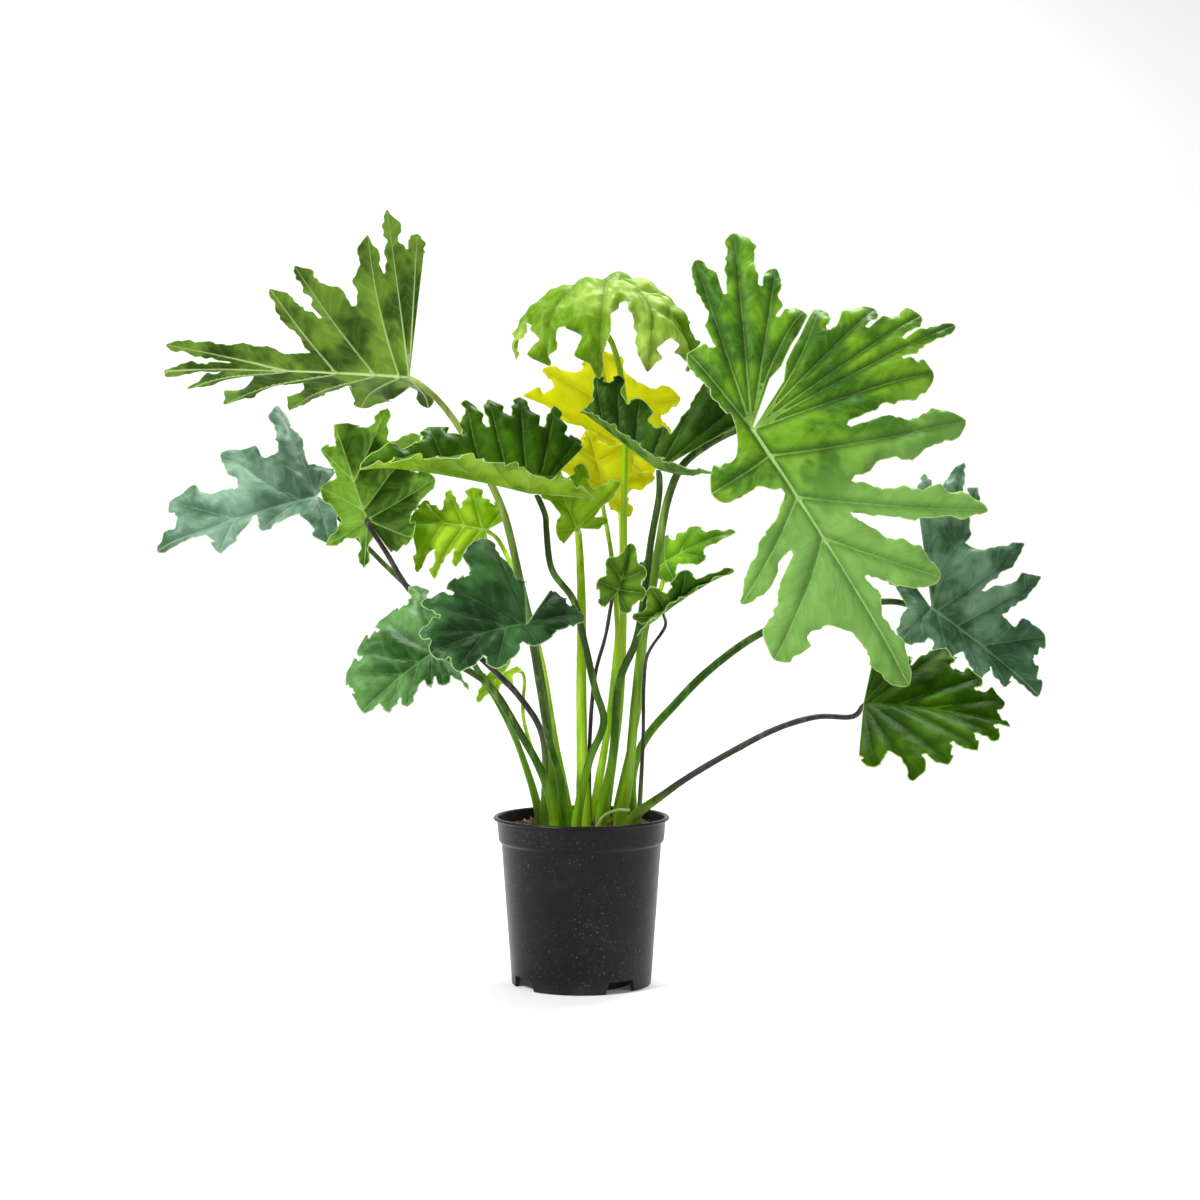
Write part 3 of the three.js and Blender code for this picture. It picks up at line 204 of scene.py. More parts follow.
# %% Plans
PLANS = {
    "upper_left": {
        "tip_start": 0.66,
        "left": [[0, 0.01, 0.64, 0.05, 0.59], [0, 0.14, 0.74, 0.13, 0.44], [0.04, 0.21, 0.63, 0.24, 0.29],
            [0.14, 0.48, 0.45, 0.37, 0.23], [0.3, 0.6, 0.38, 0.41, 0.08], [0.5, 0.98, 0.11, 0.73, 0.03]],
        "right": [[0, -0.1, 0.3, -0.04, 0.22], [0.04, 0.2, 0.36, 0.25, 0.17], [0.14, 0.5, 0.42, 0.42, 0.14],
            [0.3, 0.75, 0.34, 0.6, 0.08], [0.5, 0.93, 0.15, 0.76, 0.03]],
    },
    "far_left": {
        "tip_start": 0.8,
        "left": [[0, 0.04, 0.34, 0.16, 0.1], [0.1, 0.38, 0.12, 0.5, 0.08], [0.5, 0.66, 0.18, 0.7, 0.05]],
        "right": [[0, -0.13, 0.22, -0.04, 0.35], [0, 0, 0.72, 0.14, 0.34], [0.1, 0.46, 0.5, 0.43, 0.19],
            [0.5, 0.84, 0.27, 0.82, 0.13]],
    },
    "left": {
        "tip_start": 0.7,
        "left": [[0, -0.33, 0.37, -0.04, 0.43], [0, 0.22, 0.75, 0.42, 0.54], [0.1, 0.67, 0.75, 0.73, 0.44],
            [0.4, 1.05, 0.56, 0.91, 0.3]],
        "right": [[0, -0.48, 0.17, -0.12, 0.14], [0, -0.1, 0.45, 0.11, 0.25], [0.1, 0.49, 0.33, 0.55, 0.16],
            [0.4, 0.85, 0.21, 0.82, 0.06]],
    },
    "centre_left": {
        "tip_start": 0.66,
        "left": [[0, -0.24, 0.24, -0.08, 0.25], [0.04, 0.12, 0.32, 0.2, 0.29],
            [0.14, 0.38, 0.33, 0.42, 0.29], [0.3, 0.63, 0.29, 0.68, 0.23], [0.5, 0.86, 0.18, 0.9, 0.11]],
        "right": [[0, -0.22, 0.46, -0.15, 0.49], [0, -0.05, 0.62, 0.02, 0.43],
            [0.04, 0.15, 0.6, 0.21, 0.45], [0.14, 0.33, 0.54, 0.32, 0.35], [0.3, 0.46, 0.49, 0.48, 0.26],
            [0.5, 0.66, 0.31, 0.7, 0.18]],
    },
    "young_left": {
        "tip_start": 0.7,
        "left": [[0, 0.02, 0.22, 0.1, 0.22], [0.05, 0.28, 0.55, 0.33, 0.33], [0.26, 0.5, 0.75, 0.55, 0.37],
            [0.5, 0.71, 0.7, 0.8, 0.3]],
        "right": [[0, -0.15, 0.31, 0.01, 0.37], [0.05, 0.26, 0.5, 0.35, 0.21],
            [0.26, 0.52, 0.46, 0.56, 0.16], [0.5, 0.78, 0.26, 0.9, 0.12]],
    },
    "lower_left": {
        "tip_start": 0.66,
        "left": [[0, 0.1, 0.62, 0.13, 0.4], [0, 0.24, 0.39, 0.25, 0.26], [0.04, 0.34, 0.32, 0.44, 0.3],
            [0.22, 0.67, 0.32, 0.73, 0.25], [0.44, 0.84, 0.22, 0.92, 0.12]],
        "right": [[0, -0.6, 0.5, -0.4, 0.5], [0, -0.5, 0.85, -0.19, 0.67], [0.04, 0.15, 0.73, 0.28, 0.56],
            [0.22, 0.56, 0.56, 0.63, 0.47], [0.44, 0.81, 0.44, 0.92, 0.23]],
    },
    "lower_front": {
        "tip_start": 0.66,
        "left": [[0, -0.61, -0.38, -0.72, -0.25], [0, -0.82, -0.11, -0.3, 0.13],
            [0.04, 0.02, 0.26, 0.25, 0.34], [0.22, 0.56, 0.43, 0.69, 0.36], [0.44, 0.86, 0.28, 0.91, 0.16]],
        "right": [[0, -0.24, 0.57, -0.19, 0.66], [0, -0.15, 1.07, 0.36, 0.63],
            [0.04, 0.54, 0.66, 0.65, 0.56], [0.22, 0.85, 0.54, 0.78, 0.3], [0.44, 1.03, 0.24, 0.98, 0.12]],
    },
    "back": {
        "tip_start": 0.7,
        "left": [[0, 0.16, 0.37, 0.3, 0.38], [0.08, 0.72, 0.91, 0.74, 0.55], [0.4, 0.92, 0.62, 0.84, 0.31]],
        "right": [[0, -0.36, 0.31, -0.02, 0.38], [0.08, 0.1, 0.58, 0.26, 0.5], [0.4, 0.4, 0.72, 0.64, 0.32]],
    },
    "centre_right": {
        "tip_start": 0.8,
        "left": [[0, -0.5, 0.9, -0.2, 0.85], [0.1, 0.2, 0.4, 0.3, 0.3], [0.3, 0.5, 0.4, 0.6, 0.3],
            [0.5, 0.75, 0.3, 0.8, 0.2], [0.7, 0.95, 0.2, 1, 0.1]],
        "right": [[0, -0.36, 0.97, -0.29, 0.92], [0, -0.22, 1.11, -0.03, 0.98], [0, 0.19, 1.04, 0.15, 0.42],
            [0.1, 0.24, 0.43, 0.3, 0.34], [0.3, 0.61, 0.49, 0.73, 0.42], [0.5, 0.94, 0.56, 0.96, 0.42],
            [0.7, 1.16, 0.44, 1.08, 0.25]],
    },
    "great_right": {
        "tip_start": 0.64,
        "left": [[0, -0.26, 0.43, -0.19, 0.46], [0, -0.16, 0.59, -0.11, 0.53], [0, -0.06, 0.71, -0.01, 0.6],
            [0, 0.03, 0.79, 0.05, 0.57], [0, 0.14, 0.63, 0.16, 0.27], [0.11, 0.34, 0.63, 0.33, 0.18],
            [0.28, 0.64, 0.53, 0.42, 0.12], [0.44, 0.75, 0.27, 0.62, 0.05]],
        "right": [[0, -0.28, -0.38, -0.33, -0.31], [0, -0.46, -0.38, -0.43, -0.3],
            [0, -0.65, -0.33, -0.46, -0.18], [0, -0.63, -0.16, -0.36, -0.06], [0, -0.36, 0.03, -0.08, 0.04],
            [0.11, 0.12, 0.23, 0.25, 0.03], [0.28, 0.5, 0.35, 0.43, 0.12], [0.44, 0.71, 0.35, 0.7, 0.15]],
    },
    "far_right": {
        "tip_start": 0.7,
        "left": [[0, -0.68, 0.85, -0.46, 0.7], [0, -0.5, 1.1, -0.4, 0.95], [0, -0.31, 1.02, -0.1, 0.55],
            [0.04, 0.23, 0.83, 0.21, 0.32], [0.22, 0.48, 0.71, 0.43, 0.27], [0.44, 0.76, 0.36, 0.79, 0.18]],
        "right": [[0, -0.45, -0.05, -0.27, 0.05], [0, -0.02, 0.36, 0.14, 0.22],
            [0.04, 0.34, 0.27, 0.46, 0.19], [0.22, 0.58, 0.2, 0.67, 0.11], [0.44, 0.78, 0.13, 0.88, 0.06]],
    },
    "lower_right": {
        "tip_start": 0.7,
        "left": [[0, 0.09, 0.38, 0.17, 0.33], [0, 0.27, 0.44, 0.34, 0.4], [0.04, 0.49, 0.52, 0.63, 0.39],
            [0.22, 0.79, 0.33, 0.83, 0.25], [0.44, 0.95, 0.18, 0.95, 0.08]],
        "right": [[0, 0.2, 0.57, 0.3, 0.48], [0, 0.45, 0.61, 0.5, 0.43], [0.04, 0.66, 0.46, 0.72, 0.34],
            [0.22, 0.85, 0.3, 0.89, 0.21], [0.44, 0.97, 0.15, 0.97, 0.07]],
    },
    "centre": {
        "tip_start": 0.6,
        "left": [[0, 0.12, 0.32, 0.34, 0.17], [0.3, 0.87, 0.3, 0.84, 0.11]],
        "right": [[0, -0.05, 0.5, 0.09, 0.34], [0, 0.41, 0.94, 0.52, 0.48], [0.3, 0.95, 0.52, 0.8, 0.2]],
    },
    "inner_right": {
        "tip_start": 0.7,
        "left": [[0, 0.02, 0.57, 0.2, 0.38], [0.08, 0.69, 0.77, 0.68, 0.4], [0.45, 0.94, 0.44, 0.84, 0.16]],
        "right": [[0, -0.6, 0.35, -0.2, 0.36], [0.08, -0.05, 0.87, 0.2, 0.54],
            [0.45, 0.57, 0.78, 0.66, 0.26]],
    },
    "lobed": {
        "tip_start": 0.55,
        "both": [[0, -0.34, 0.3, -0.12, 0.28], [0.05, 0.14, 0.52, 0.24, 0.28], [0.26, 0.58, 0.4, 0.62, 0.2]],
    },
    "rounded": {
        "tip_start": 0.55,
        "both": [[0, -0.28, 0.34, -0.1, 0.4], [0.05, 0.22, 0.54, 0.38, 0.44], [0.26, 0.66, 0.44, 0.78, 0.3]],
    },
    "umbrella": {
        "tip_start": 0.6,
        "left": [[0, -0.7, 0.38, -0.34, 0.3], [0, -0.35, 0.88, -0.03, 0.36], [0.06, 0.34, 0.96, 0.32, 0.32],
            [0.3, 0.74, 0.6, 0.68, 0.2]],
        "right": [[0, -0.78, 0.4, -0.46, 0.46], [0, -0.4, 0.88, -0.12, 0.66], [0.06, 0.26, 0.96, 0.3, 0.36],
            [0.3, 0.78, 0.66, 0.72, 0.34]],
    },
}
print("plans:", len(PLANS))

# %% [markdown]
# ## The ways a blade can grow
# These values say how lobes are rounded, waved and drooped, as fractions of the blade's length. The
# fold is the angle in degrees of the left and right half above flat. The droop is the bend in degrees
# over one length: of the tip, of the sides and of the ears. The gap is the air to the stalk, in mm.

# %% Growth
GROWTH = {
    "width": [1, 1], "vary": 0.05, "rows": 3, "blunt": 2.6, "notch": 0.3, "finger": 1,
    "scallop": 0.16, "puff": 0.025, "ruffle": 0.035, "waves": 1.5, "hang": 0.03, "sinus": 0.8,
    "bare": 0, "gap": 0.35, "fold": [10, 10], "droop": [20, 12, 20],
}
print("growth values:", len(GROWTH))

# %% [markdown]
# Young blades and the old ones low down are more crumpled than the rest. The first table multiplies
# the unevenness of a blade, and the second gives the depth in mm of the fine ruffles on its margin.

# %% Crumpling
CRUMPLING = {"top": 2.4, "young_left": 1.5, "centre": 1.4, "inner_right": 1.3, "lower_front": 1.3,
             "low_back": 1.5}
RUFFLE_DEPTH = {"top": 5.0, "young_left": 4.0, "great_right": 4.5, "lower_front": 3.4, "centre": 3.6,
                "far_right": 3.4, "centre_right": 3.2, "upper_left": 3.0}
USUAL_RUFFLE_DEPTH = 2.2
print("crumpled leaves:", len(CRUMPLING))

# %% [markdown]
# ## The leaves
# For each leaf: where its blade joins the stalk, where its tip is and where its upper face looks. Then
# come the stalk's base, its radii at the base, along its length and at the top, and the points it
# passes. All places are in mm.

# %% Leaves
LEAVES = {
    "upper_left": {
        "at": [-190, 70, 655], "tip": [-451, 20, 661], "face": [0, 0.88, 0.45], "seed": 3,
        "finish": "leaf_green", "fold": [4, 50], "droop": [10, 10, 10],
        "base": [-30, 12], "radii": [8, 4.6, 3.2], "stalk": "stalk_dark",
        "through": [[-35, 14, 261], [-50, 22, 357], [-67, 28, 433], [-86, 36, 509], [-116, 50, 569],
                    [-150, 62, 621]],
    },
    "far_left": {
        "at": [-300, 125, 524], "tip": [-473, 80, 466], "face": [0, -0.85, 0.5], "seed": 5,
        "finish": "leaf_dark", "fold": [8, 8],
        "base": [-46, 18], "radii": [6, 3.4, 2.6], "stalk": "stalk_dark",
        "through": [[-70, 40, 253], [-101, 65, 311], [-159, 100, 387], [-228, 118, 454], [-268, 128, 494]],
    },
    "left": {
        "at": [-234, 40, 498], "tip": [-272, 70, 603], "face": [-0.1, 0.95, 0.1], "seed": 7,
        "finish": "leaf_green", "fold": [12, 12], "droop": [15, 10, 15],
        "base": [-40, -7], "radii": [5.5, 3.4, 2.6], "stalk": "stalk_dark",
        "through": [[-42, -11, 268], [-66, -8, 308], [-99, 0, 341], [-148, 15, 385], [-187, 28, 422],
                    [-214, 34, 465]],
    },
    "centre_left": {
        "at": [-46, -60, 525], "tip": [-224, -120, 554], "face": [0, 0, 1], "seed": 11,
        "finish": "leaf_dark", "fold": [20, 70], "droop": [10, 10, 10], "notch": 0.2,
        "base": [-5, -42], "radii": [6.5, 4, 3], "stalk": "stalk_dark",
        "through": [[9, -45, 244], [24, -46, 285], [15, -50, 319], [3, -55, 372], [-8, -60, 414],
                    [-30, -64, 445], [-36, -62, 487]],
    },
    "young_left": {
        "at": [-105, 75, 487], "tip": [-200, 85, 498], "face": [0, -0.85, 0.4], "seed": 13,
        "finish": "leaf_young", "droop": [20, 10, 10], "ruffle": 0.07,
        "base": [-14, 32], "radii": [5.5, 3.2, 2.4], "stalk": "stalk_green",
        "through": [[-29, 52, 257], [-47, 70, 355], [-69, 74, 425]],
    },
    "lower_left": {
        "at": [-150, -90, 361], "tip": [-222, -130, 302], "face": [-0.1, -0.8, 0.5], "seed": 17,
        "finish": "leaf_dark", "fold": [8, 8], "droop": [25, 15, 20], "notch": 0.14,
        "base": [-27, -30], "radii": [9, 4.4, 3], "stalk": "stalk_dark",
        "through": [[-38, -38, 222], [-67, -58, 279], [-97, -68, 326]],
    },
    "lower_front": {
        "at": [-54, -150, 392], "tip": [-147, -200, 366], "face": [-0.1, -0.85, 0.5], "seed": 19,
        "finish": "leaf_dark", "fold": [8, 8], "droop": [25, 15, 25], "notch": 0.14, "sinus": 0.4,
        "base": [-17, -13], "radii": [6.5, 4, 3], "stalk": "stalk_dark",
        "through": [[-23, -22, 223], [-34, -50, 267], [-42, -90, 322]],
    },
    "top": {
        "at": [20, 0, 750], "tip": [118, -20, 655], "face": [0, -0.2, 1], "plan": "umbrella",
        "seed": 23, "finish": "leaf_young", "fold": [12, 12], "droop": [90, 105, 80], "gap": 1.2,
        "ruffle": 0.06,
        "base": [26, 24], "radii": [6.5, 4, 2.6], "stalk": "stalk_green",
        "through": [[42, 28, 302], [46, 22, 520], [46, 12, 627], [34, 8, 685]],
    },
    "back": {
        "at": [40, 122, 579], "tip": [22, 106, 688], "face": [0, -0.9, 0.3], "seed": 29,
        "finish": "leaf_young", "droop": [15, 15, 10],
        "base": [14, 46], "radii": [6.5, 4, 2.8], "stalk": "stalk_green",
        "through": [[33, 78, 299], [45, 122, 454]],
    },
    "centre_right": {
        "at": [82, -70, 550], "tip": [1, -60, 612], "face": [0, -0.1, 1], "seed": 31,
        "finish": "leaf_dark", "fold": [22, 65], "droop": [0, 0, -50],
        "base": [20, -12], "radii": [7, 4.4, 3.2], "stalk": "stalk_dark",
        "through": [[33, -20, 242], [41, -35, 328], [58, -50, 371], [67, -62, 424], [73, -70, 474]],
    },
    "great_right": {
        "at": [177, -90, 590], "tip": [334, -150, 330], "face": [-0.15, -0.85, 0.5], "seed": 37,
        "finish": "leaf_green", "fold": [6, 6], "droop": [20, 12, -12], "blunt": 4.5, "notch": 0.06,
        "finger": 0.085, "vary": 0, "rows": 4, "sinus": 0.5, "bare": 0.4,
        "base": [42, -10], "radii": [8.5, 5, 3.4], "stalk": "stalk_green",
        "through": [[50, -12, 220], [58, -20, 306], [65, -30, 370], [75, -40, 424], [83, -50, 476],
                    [91, -50, 518], [107, -46, 555], [141, -50, 581]],
    },
    "far_right": {
        "at": [385, 60, 401], "tip": [501, 40, 306], "face": [0.1, -0.95, 0.3], "seed": 41,
        "finish": "leaf_dark", "notch": 0.16, "finger": 0.15,
        "base": [54, 10], "radii": [8, 4.6, 3.2], "stalk": "stalk_dark",
        "through": [[55, 10, 224], [69, 12, 261], [101, 20, 298], [139, 30, 335], [200, 48, 376],
                    [290, 66, 403], [345, 74, 408]],
    },
    "lower_right": {
        "at": [290, -110, 308], "tip": [435, -150, 291], "face": [0, -0.75, 0.65], "seed": 43,
        "finish": "leaf_green", "notch": 0.14,
        "base": [52, -42], "radii": [7.5, 3.6, 2.6], "stalk": "stalk_dark",
        "through": [[60, -45, 188], [86, -60, 209], [111, -70, 228], [157, -84, 257], [206, -94, 283],
                    [245, -94, 294]],
    },
    "centre": {
        "at": [-5, 15, 489], "tip": [-33, 0, 552], "face": [0, -1, 0.2], "seed": 47,
        "finish": "leaf_young", "fold": [20, 20], "droop": [10, 10, 10], "ruffle": 0.07,
        "base": [2, -16], "radii": [9, 6, 3.4], "stalk": "stalk_green",
        "through": [[0, -8, 305], [0, 10, 412]],
    },
    "behind_right": {
        "at": [87, 20, 449], "tip": [165, 0, 487], "face": [0, -0.6, 0.8], "plan": "lobed", "seed": 53,
        "finish": "leaf_green", "width": [0.9, 0.9],
        "base": [38, 32], "radii": [5.5, 3.4, 2.4], "stalk": "stalk_green",
        "through": [[64, 40, 302], [72, 34, 389]],
    },
    "rolled_right": {
        "at": [85, -80, 400], "tip": [157, -108, 446], "face": [0, -0.8, 0.6], "plan": "lobed",
        "seed": 59, "finish": "leaf_green", "width": [0.7, 0.7], "fold": [60, 60],
        "base": [62, -12], "radii": [3.5, 2, 1.6], "stalk": "stalk_dark",
        "through": [[66, -16, 261], [67, -36, 332], [71, -58, 359]],
    },
    "cupped": {
        "at": [38, -78, 422], "tip": [53, -90, 473], "face": [0.2, -0.9, 0.3], "plan": "rounded",
        "seed": 61, "finish": "leaf_green", "fold": [30, 30],
        "base": [8, 12], "radii": [4, 2.2, 1.8], "stalk": "stalk_dark",
        "through": [[9, -4, 261], [15, -34, 334], [26, -60, 377]],
    },
    "low_back": {
        "at": [-86, 92, 329], "tip": [-118, 95, 295], "face": [-0.3, -0.7, 0.6], "plan": "lobed",
        "seed": 67, "finish": "leaf_young",
        "base": [-30, 38], "radii": [3.5, 2.2, 1.8], "stalk": "stalk_green",
        "through": [[-52, 66, 235], [-66, 96, 280]],
    },
    "inner_right": {
        "at": [24, 62, 533], "tip": [6, 52, 597], "face": [0, -0.8, 0.5], "seed": 71,
        "finish": "leaf_young", "fold": [15, 15], "droop": [25, 20, 10], "ruffle": 0.06,
        "base": [24, 4], "radii": [4.5, 3, 2.2], "stalk": "stalk_green",
        "through": [[35, 0, 261], [39, 0, 368], [33, 34, 455]],
    },
}
print("leaves:", len(LEAVES))

# %% [markdown]
# ## From a plan to a flat outline
# A blade starts flat. Every lobe has a rib, and its margin runs beside the rib at a distance that
# narrows to nothing at the tip. Between two lobes there is a rounded gap, a sinus. The steps below
# draw one side's ribs, then the margin on each side of a rib.

# %% Small sums on pairs
def mix(a, b, t):
    return [p + (q - p) * t for p, q in zip(a, b)]


def minus(a, b):
    return [a[0] - b[0], a[1] - b[1]]


def size(a):
    return math.hypot(a[0], a[1])


def cross(a, b):
    return a[0] * b[1] - a[1] * b[0]


def dot(a, b):
    return a[0] * b[0] + a[1] * b[1]


def draw(seed, use):
    """A repeatable number from 0 to 1 for each leaf and each use."""
    value = math.sin(seed * 12.9898 + use * 78.233) * 43758.5453
    return value - math.floor(value)


def smooth(value):
    """0 to 1 with soft ends."""
    value = np.clip(value, 0, 1)
    return value * value * (3 - 2 * value)


print("halfway between two places:", mix([0, 0], [1, 2], 0.5))

# %% [markdown]
# A gap that would lie beyond its lobes' tips is drawn in towards the midrib, so that each lobe stands
# out past it. On the broad blade the two ribs beside the stalk are bare for part of their length and
# bow apart, which leaves a small window between them.

# %% Ribs and gaps
GAP_REACH = 0.86
RIB_BOW = 0.07
HEADING_STEP = 0.01
BARE_WIDTH = 0.012
BARE_BOW = 0.11
BARE_END = 0.12


def rib_point(lobe, t):
    middle = mix(lobe["start"], lobe["tip"], 0.5)
    if lobe["start"][0] > 0:
        middle[0] += RIB_BOW * abs(lobe["tip"][1])
    middle[0] += lobe["bow"] * lobe["tip"][1]
    middle[1] -= lobe["bow"] * lobe["tip"][0]
    return mix(mix(lobe["start"], middle, t), mix(middle, lobe["tip"], t), t)


def heading_at(lobe, t):
    """The way a rib runs at one place."""
    heading = minus(rib_point(lobe, t + HEADING_STEP), rib_point(lobe, t))
    return [value / size(heading) for value in heading]


def beside(lobe, t, distance):
    """The place beside a rib, at a distance to its left."""
    spot, heading = rib_point(lobe, t), heading_at(lobe, t)
    return [spot[0] - heading[1] * distance, spot[1] + heading[0] * distance]


def reach_of(lobe, gap):
    """How far up a lobe's rib a gap beside it lies."""
    rib = minus(lobe["tip"], lobe["start"])
    return dot(minus(gap, lobe["start"]), rib) / dot(rib, rib)


def gap_within(gap, before, after):
    root = [(before["start"][0] + after["start"][0]) / 2, 0]
    shares = []
    for lobe in (before, after):
        far = reach_of(lobe, gap)
        shares.append((far - GAP_REACH) / (far - reach_of(lobe, root)) if far > GAP_REACH else 0)
    return mix(gap, root, max(shares))


def side_lobes(leaf, sign):
    """One side's lobes, from the ear at the stalk to the leaf's tip. The sign is 1 left and -1 right."""
    plan = leaf["plan"]
    rows = plan.get("both") or plan["left" if sign > 0 else "right"]
    width = leaf["width"][0 if sign > 0 else 1]
    lobes = []
    for k, (start, tip_x, tip_y, gap_x, gap_y) in enumerate(rows):
        reach = 1 + leaf["vary"] * (2 * draw(leaf["seed"], k + (0 if sign > 0 else 20)) - 1)
        tip = [start + (tip_x - start) * reach, sign * width * tip_y * reach]
        bow = sign * BARE_BOW if k == 0 and leaf["bare"] > 0 else 0
        lobes.append({"start": [start, 0], "tip": tip, "gap": [gap_x, sign * width * gap_y], "bow": bow})
    lobes.append({"start": [plan["tip_start"], 0], "tip": [1, 0], "gap": None, "bow": 0})
    for one, two in zip(lobes, lobes[1:]):
        one["gap"] = gap_within(one["gap"], one, two)
    return lobes


example = {**GROWTH, **LEAVES["left"], "plan": PLANS["left"]}
print("lobes of the leaf on the left:", [len(side_lobes(example, sign)) - 1 for sign in (1, -1)])

# %% [markdown]
# Neighbouring lobes keep to their own side of a dividing line that runs out of the gap between them.

# %% Dividing lines
SINUS_SHARE = 0.12


def divider_at(gap, one, two):
    """A line out of a gap, halfway between the ways to the two lobes' tips."""
    to_one, to_two = minus(one["tip"], gap), minus(two["tip"], gap)
    along = [to_one[n] / size(to_one) + to_two[n] / size(to_two) for n in (0, 1)]
    return {"point": gap, "along": along}


def back_divider(left, right):
    """The line that parts the first lobes of the two sides, behind the stalk."""
    turn = 2 * math.pi
    left_angle = (math.atan2(left["tip"][1], left["tip"][0]) + turn) % turn
    right_angle = math.fmod(math.atan2(right["tip"][1], right["tip"][0]) - turn, turn) + turn
    angle = (left_angle + right_angle) / 2
    return {"point": [0, 0], "along": [math.cos(angle), math.sin(angle)]}


def held_back(edge, rib, divider):
    """A point of the edge, drawn back towards its rib if it would cross the dividing line."""
    rib_side = cross(minus(rib, divider["point"]), divider["along"])
    edge_side = cross(minus(edge, divider["point"]), divider["along"])
    if rib_side * edge_side > 0 and abs(edge_side) > SINUS_SHARE * abs(rib_side):
        return edge
    return mix(rib, edge, (1 - SINUS_SHARE) * rib_side / (rib_side - edge_side))

# %% [markdown]
# ## One margin of one lobe
# From the gap the margin first draws in a little, then swells, then closes on the tip. It waves in the
# blade's own plane and, more gently, out of it. Each point keeps its lift off the flat blade.

# %% Margin of half a lobe
MARGIN_STEPS = 40
GAP_LIMIT = 0.94
NOTCH_SPAN = 0.35
LEAST_WIDTH = 0.035
LIFT_WIDTH = 0.16
SCALLOPS = 1.6
WAVE_SHARE = 0.75
TIP_CROWDING = 1.5
STEP_CROWDING = 1.25
TOOTH_LENGTH, TOOTH_DEPTH = 17, 6.5
RUFFLE_LENGTH = 11
FULL_TEETH_AT = 150


def closing(u, blunt, rows):
    """The share of a lobe's width left at u. Near the tip it is between a round end and a straight one."""
    full = math.sqrt(1 - u ** blunt)
    last = 1 - (1 / rows) ** TIP_CROWDING
    if u <= last:
        return full
    straight = math.sqrt(1 - last ** blunt) * (1 - u) / (1 - last)
    return 0.6 * full + 0.4 * straight


def unevenness(place, length, row):
    """A number round 0 that changes along a line: broad swells with small ones on them."""
    swell = noise.noise(Vector((place / length, row, 0.5)))
    return swell + 0.5 * noise.noise(Vector((2.7 * place / length, row, 8.5)))


def half_margin(leaf, lobe, k, sign, half, gap, open_end, divider):
    """One edge of side lobe k, from its gap to its tip, as places with their lifts. The half is 0 before
    the rib and 1 after it, and at an open end no other lobe shares the gap."""
    side = 0 if sign > 0 else 1
    own = min(GAP_LIMIT, max(0, reach_of(lobe, gap)))
    heading = heading_at(lobe, own)
    to_gap = minus(gap, rib_point(lobe, own))
    wide, ahead = cross(heading, to_gap), dot(heading, to_gap)
    phase = 2 * math.pi * draw(leaf["seed"], 40 + 2 * k + half + 30 * side)
    hang = leaf["hang"] * (0.6 + 0.8 * draw(leaf["seed"], 90 + k + 11 * side))
    in_mm = leaf["length"] / MM
    grown = min(1, in_mm / FULL_TEETH_AT)
    tooth_depth = TOOTH_DEPTH * grown / in_mm
    ruffle_depth = RUFFLE_DEPTH.get(leaf["name"], USUAL_RUFFLE_DEPTH) * grown / in_mm
    rib_length = size(minus(lobe["tip"], lobe["start"])) * in_mm
    row = 3.7 * leaf["seed"] + 5 * k + 2 * half + 40 * side
    points = []
    for i in range(MARGIN_STEPS):
        u = 1 - (1 - i / MARGIN_STEPS) ** STEP_CROWDING
        t = own + (1 - own) * u
        swell = 4 * u * (1 - u)
        drawn = math.sin(math.pi / 2 * min(1, u / NOTCH_SPAN))
        narrowed = abs(wide) + (min(abs(wide), leaf["finger"]) - abs(wide)) * drawn
        fullest = max(narrowed * (1 - leaf["notch"] * drawn), LEAST_WIDTH)
        scallop = 1 + leaf["scallop"] * swell * math.sin(2 * math.pi * SCALLOPS * u + phase)
        place = t * rib_length
        teeth = tooth_depth * math.sqrt(swell) * unevenness(place, TOOTH_LENGTH, row)
        width = fullest * closing(u, leaf["blunt"], leaf["rows"]) * scallop + teeth
        reach = math.copysign(max(width, 0), wide)
        head, rib, lead = heading_at(lobe, t), rib_point(lobe, t), ahead * (1 - u)
        flat = [rib[0] + head[0] * lead - head[1] * reach, rib[1] + head[1] * lead + head[0] * reach]
        if i == 0:
            flat = gap
        if i > 0 or open_end:
            flat = held_back(flat, rib, divider)
        angle = 2 * math.pi * leaf["waves"] * u + phase
        wave = WAVE_SHARE * leaf["ruffle"] * math.sqrt(swell) * math.sin(angle)
        wave += ruffle_depth * unevenness(place, RUFFLE_LENGTH, row + 60) * min(1, 6 * (1 - u))
        room = min(1, size(minus(flat, rib)) / LIFT_WIDTH)
        points.append((flat, room * (leaf["puff"] * (1 - u) + wave) - hang * u * u))
    return points, hang


print("points on each edge of a lobe:", MARGIN_STEPS)

# %% [markdown]
# Put together, the margins make one closed line round the blade. The ribs are lines inside it: the
# midrib, one for each lobe, and the leaf's tip.

# %% Outline and ribs of a blade
RIB_STEPS = 18
WEB_RANGE = (0.16, 0.85)


def drawn_rib(lobe, web, hang):
    """A rib as points with their lifts."""
    points = []
    for i in range(RIB_STEPS + 1):
        t = i / RIB_STEPS
        u = max(0, (t - web) / (1 - web))
        points.append((rib_point(lobe, t), -hang * u * u))
    return points


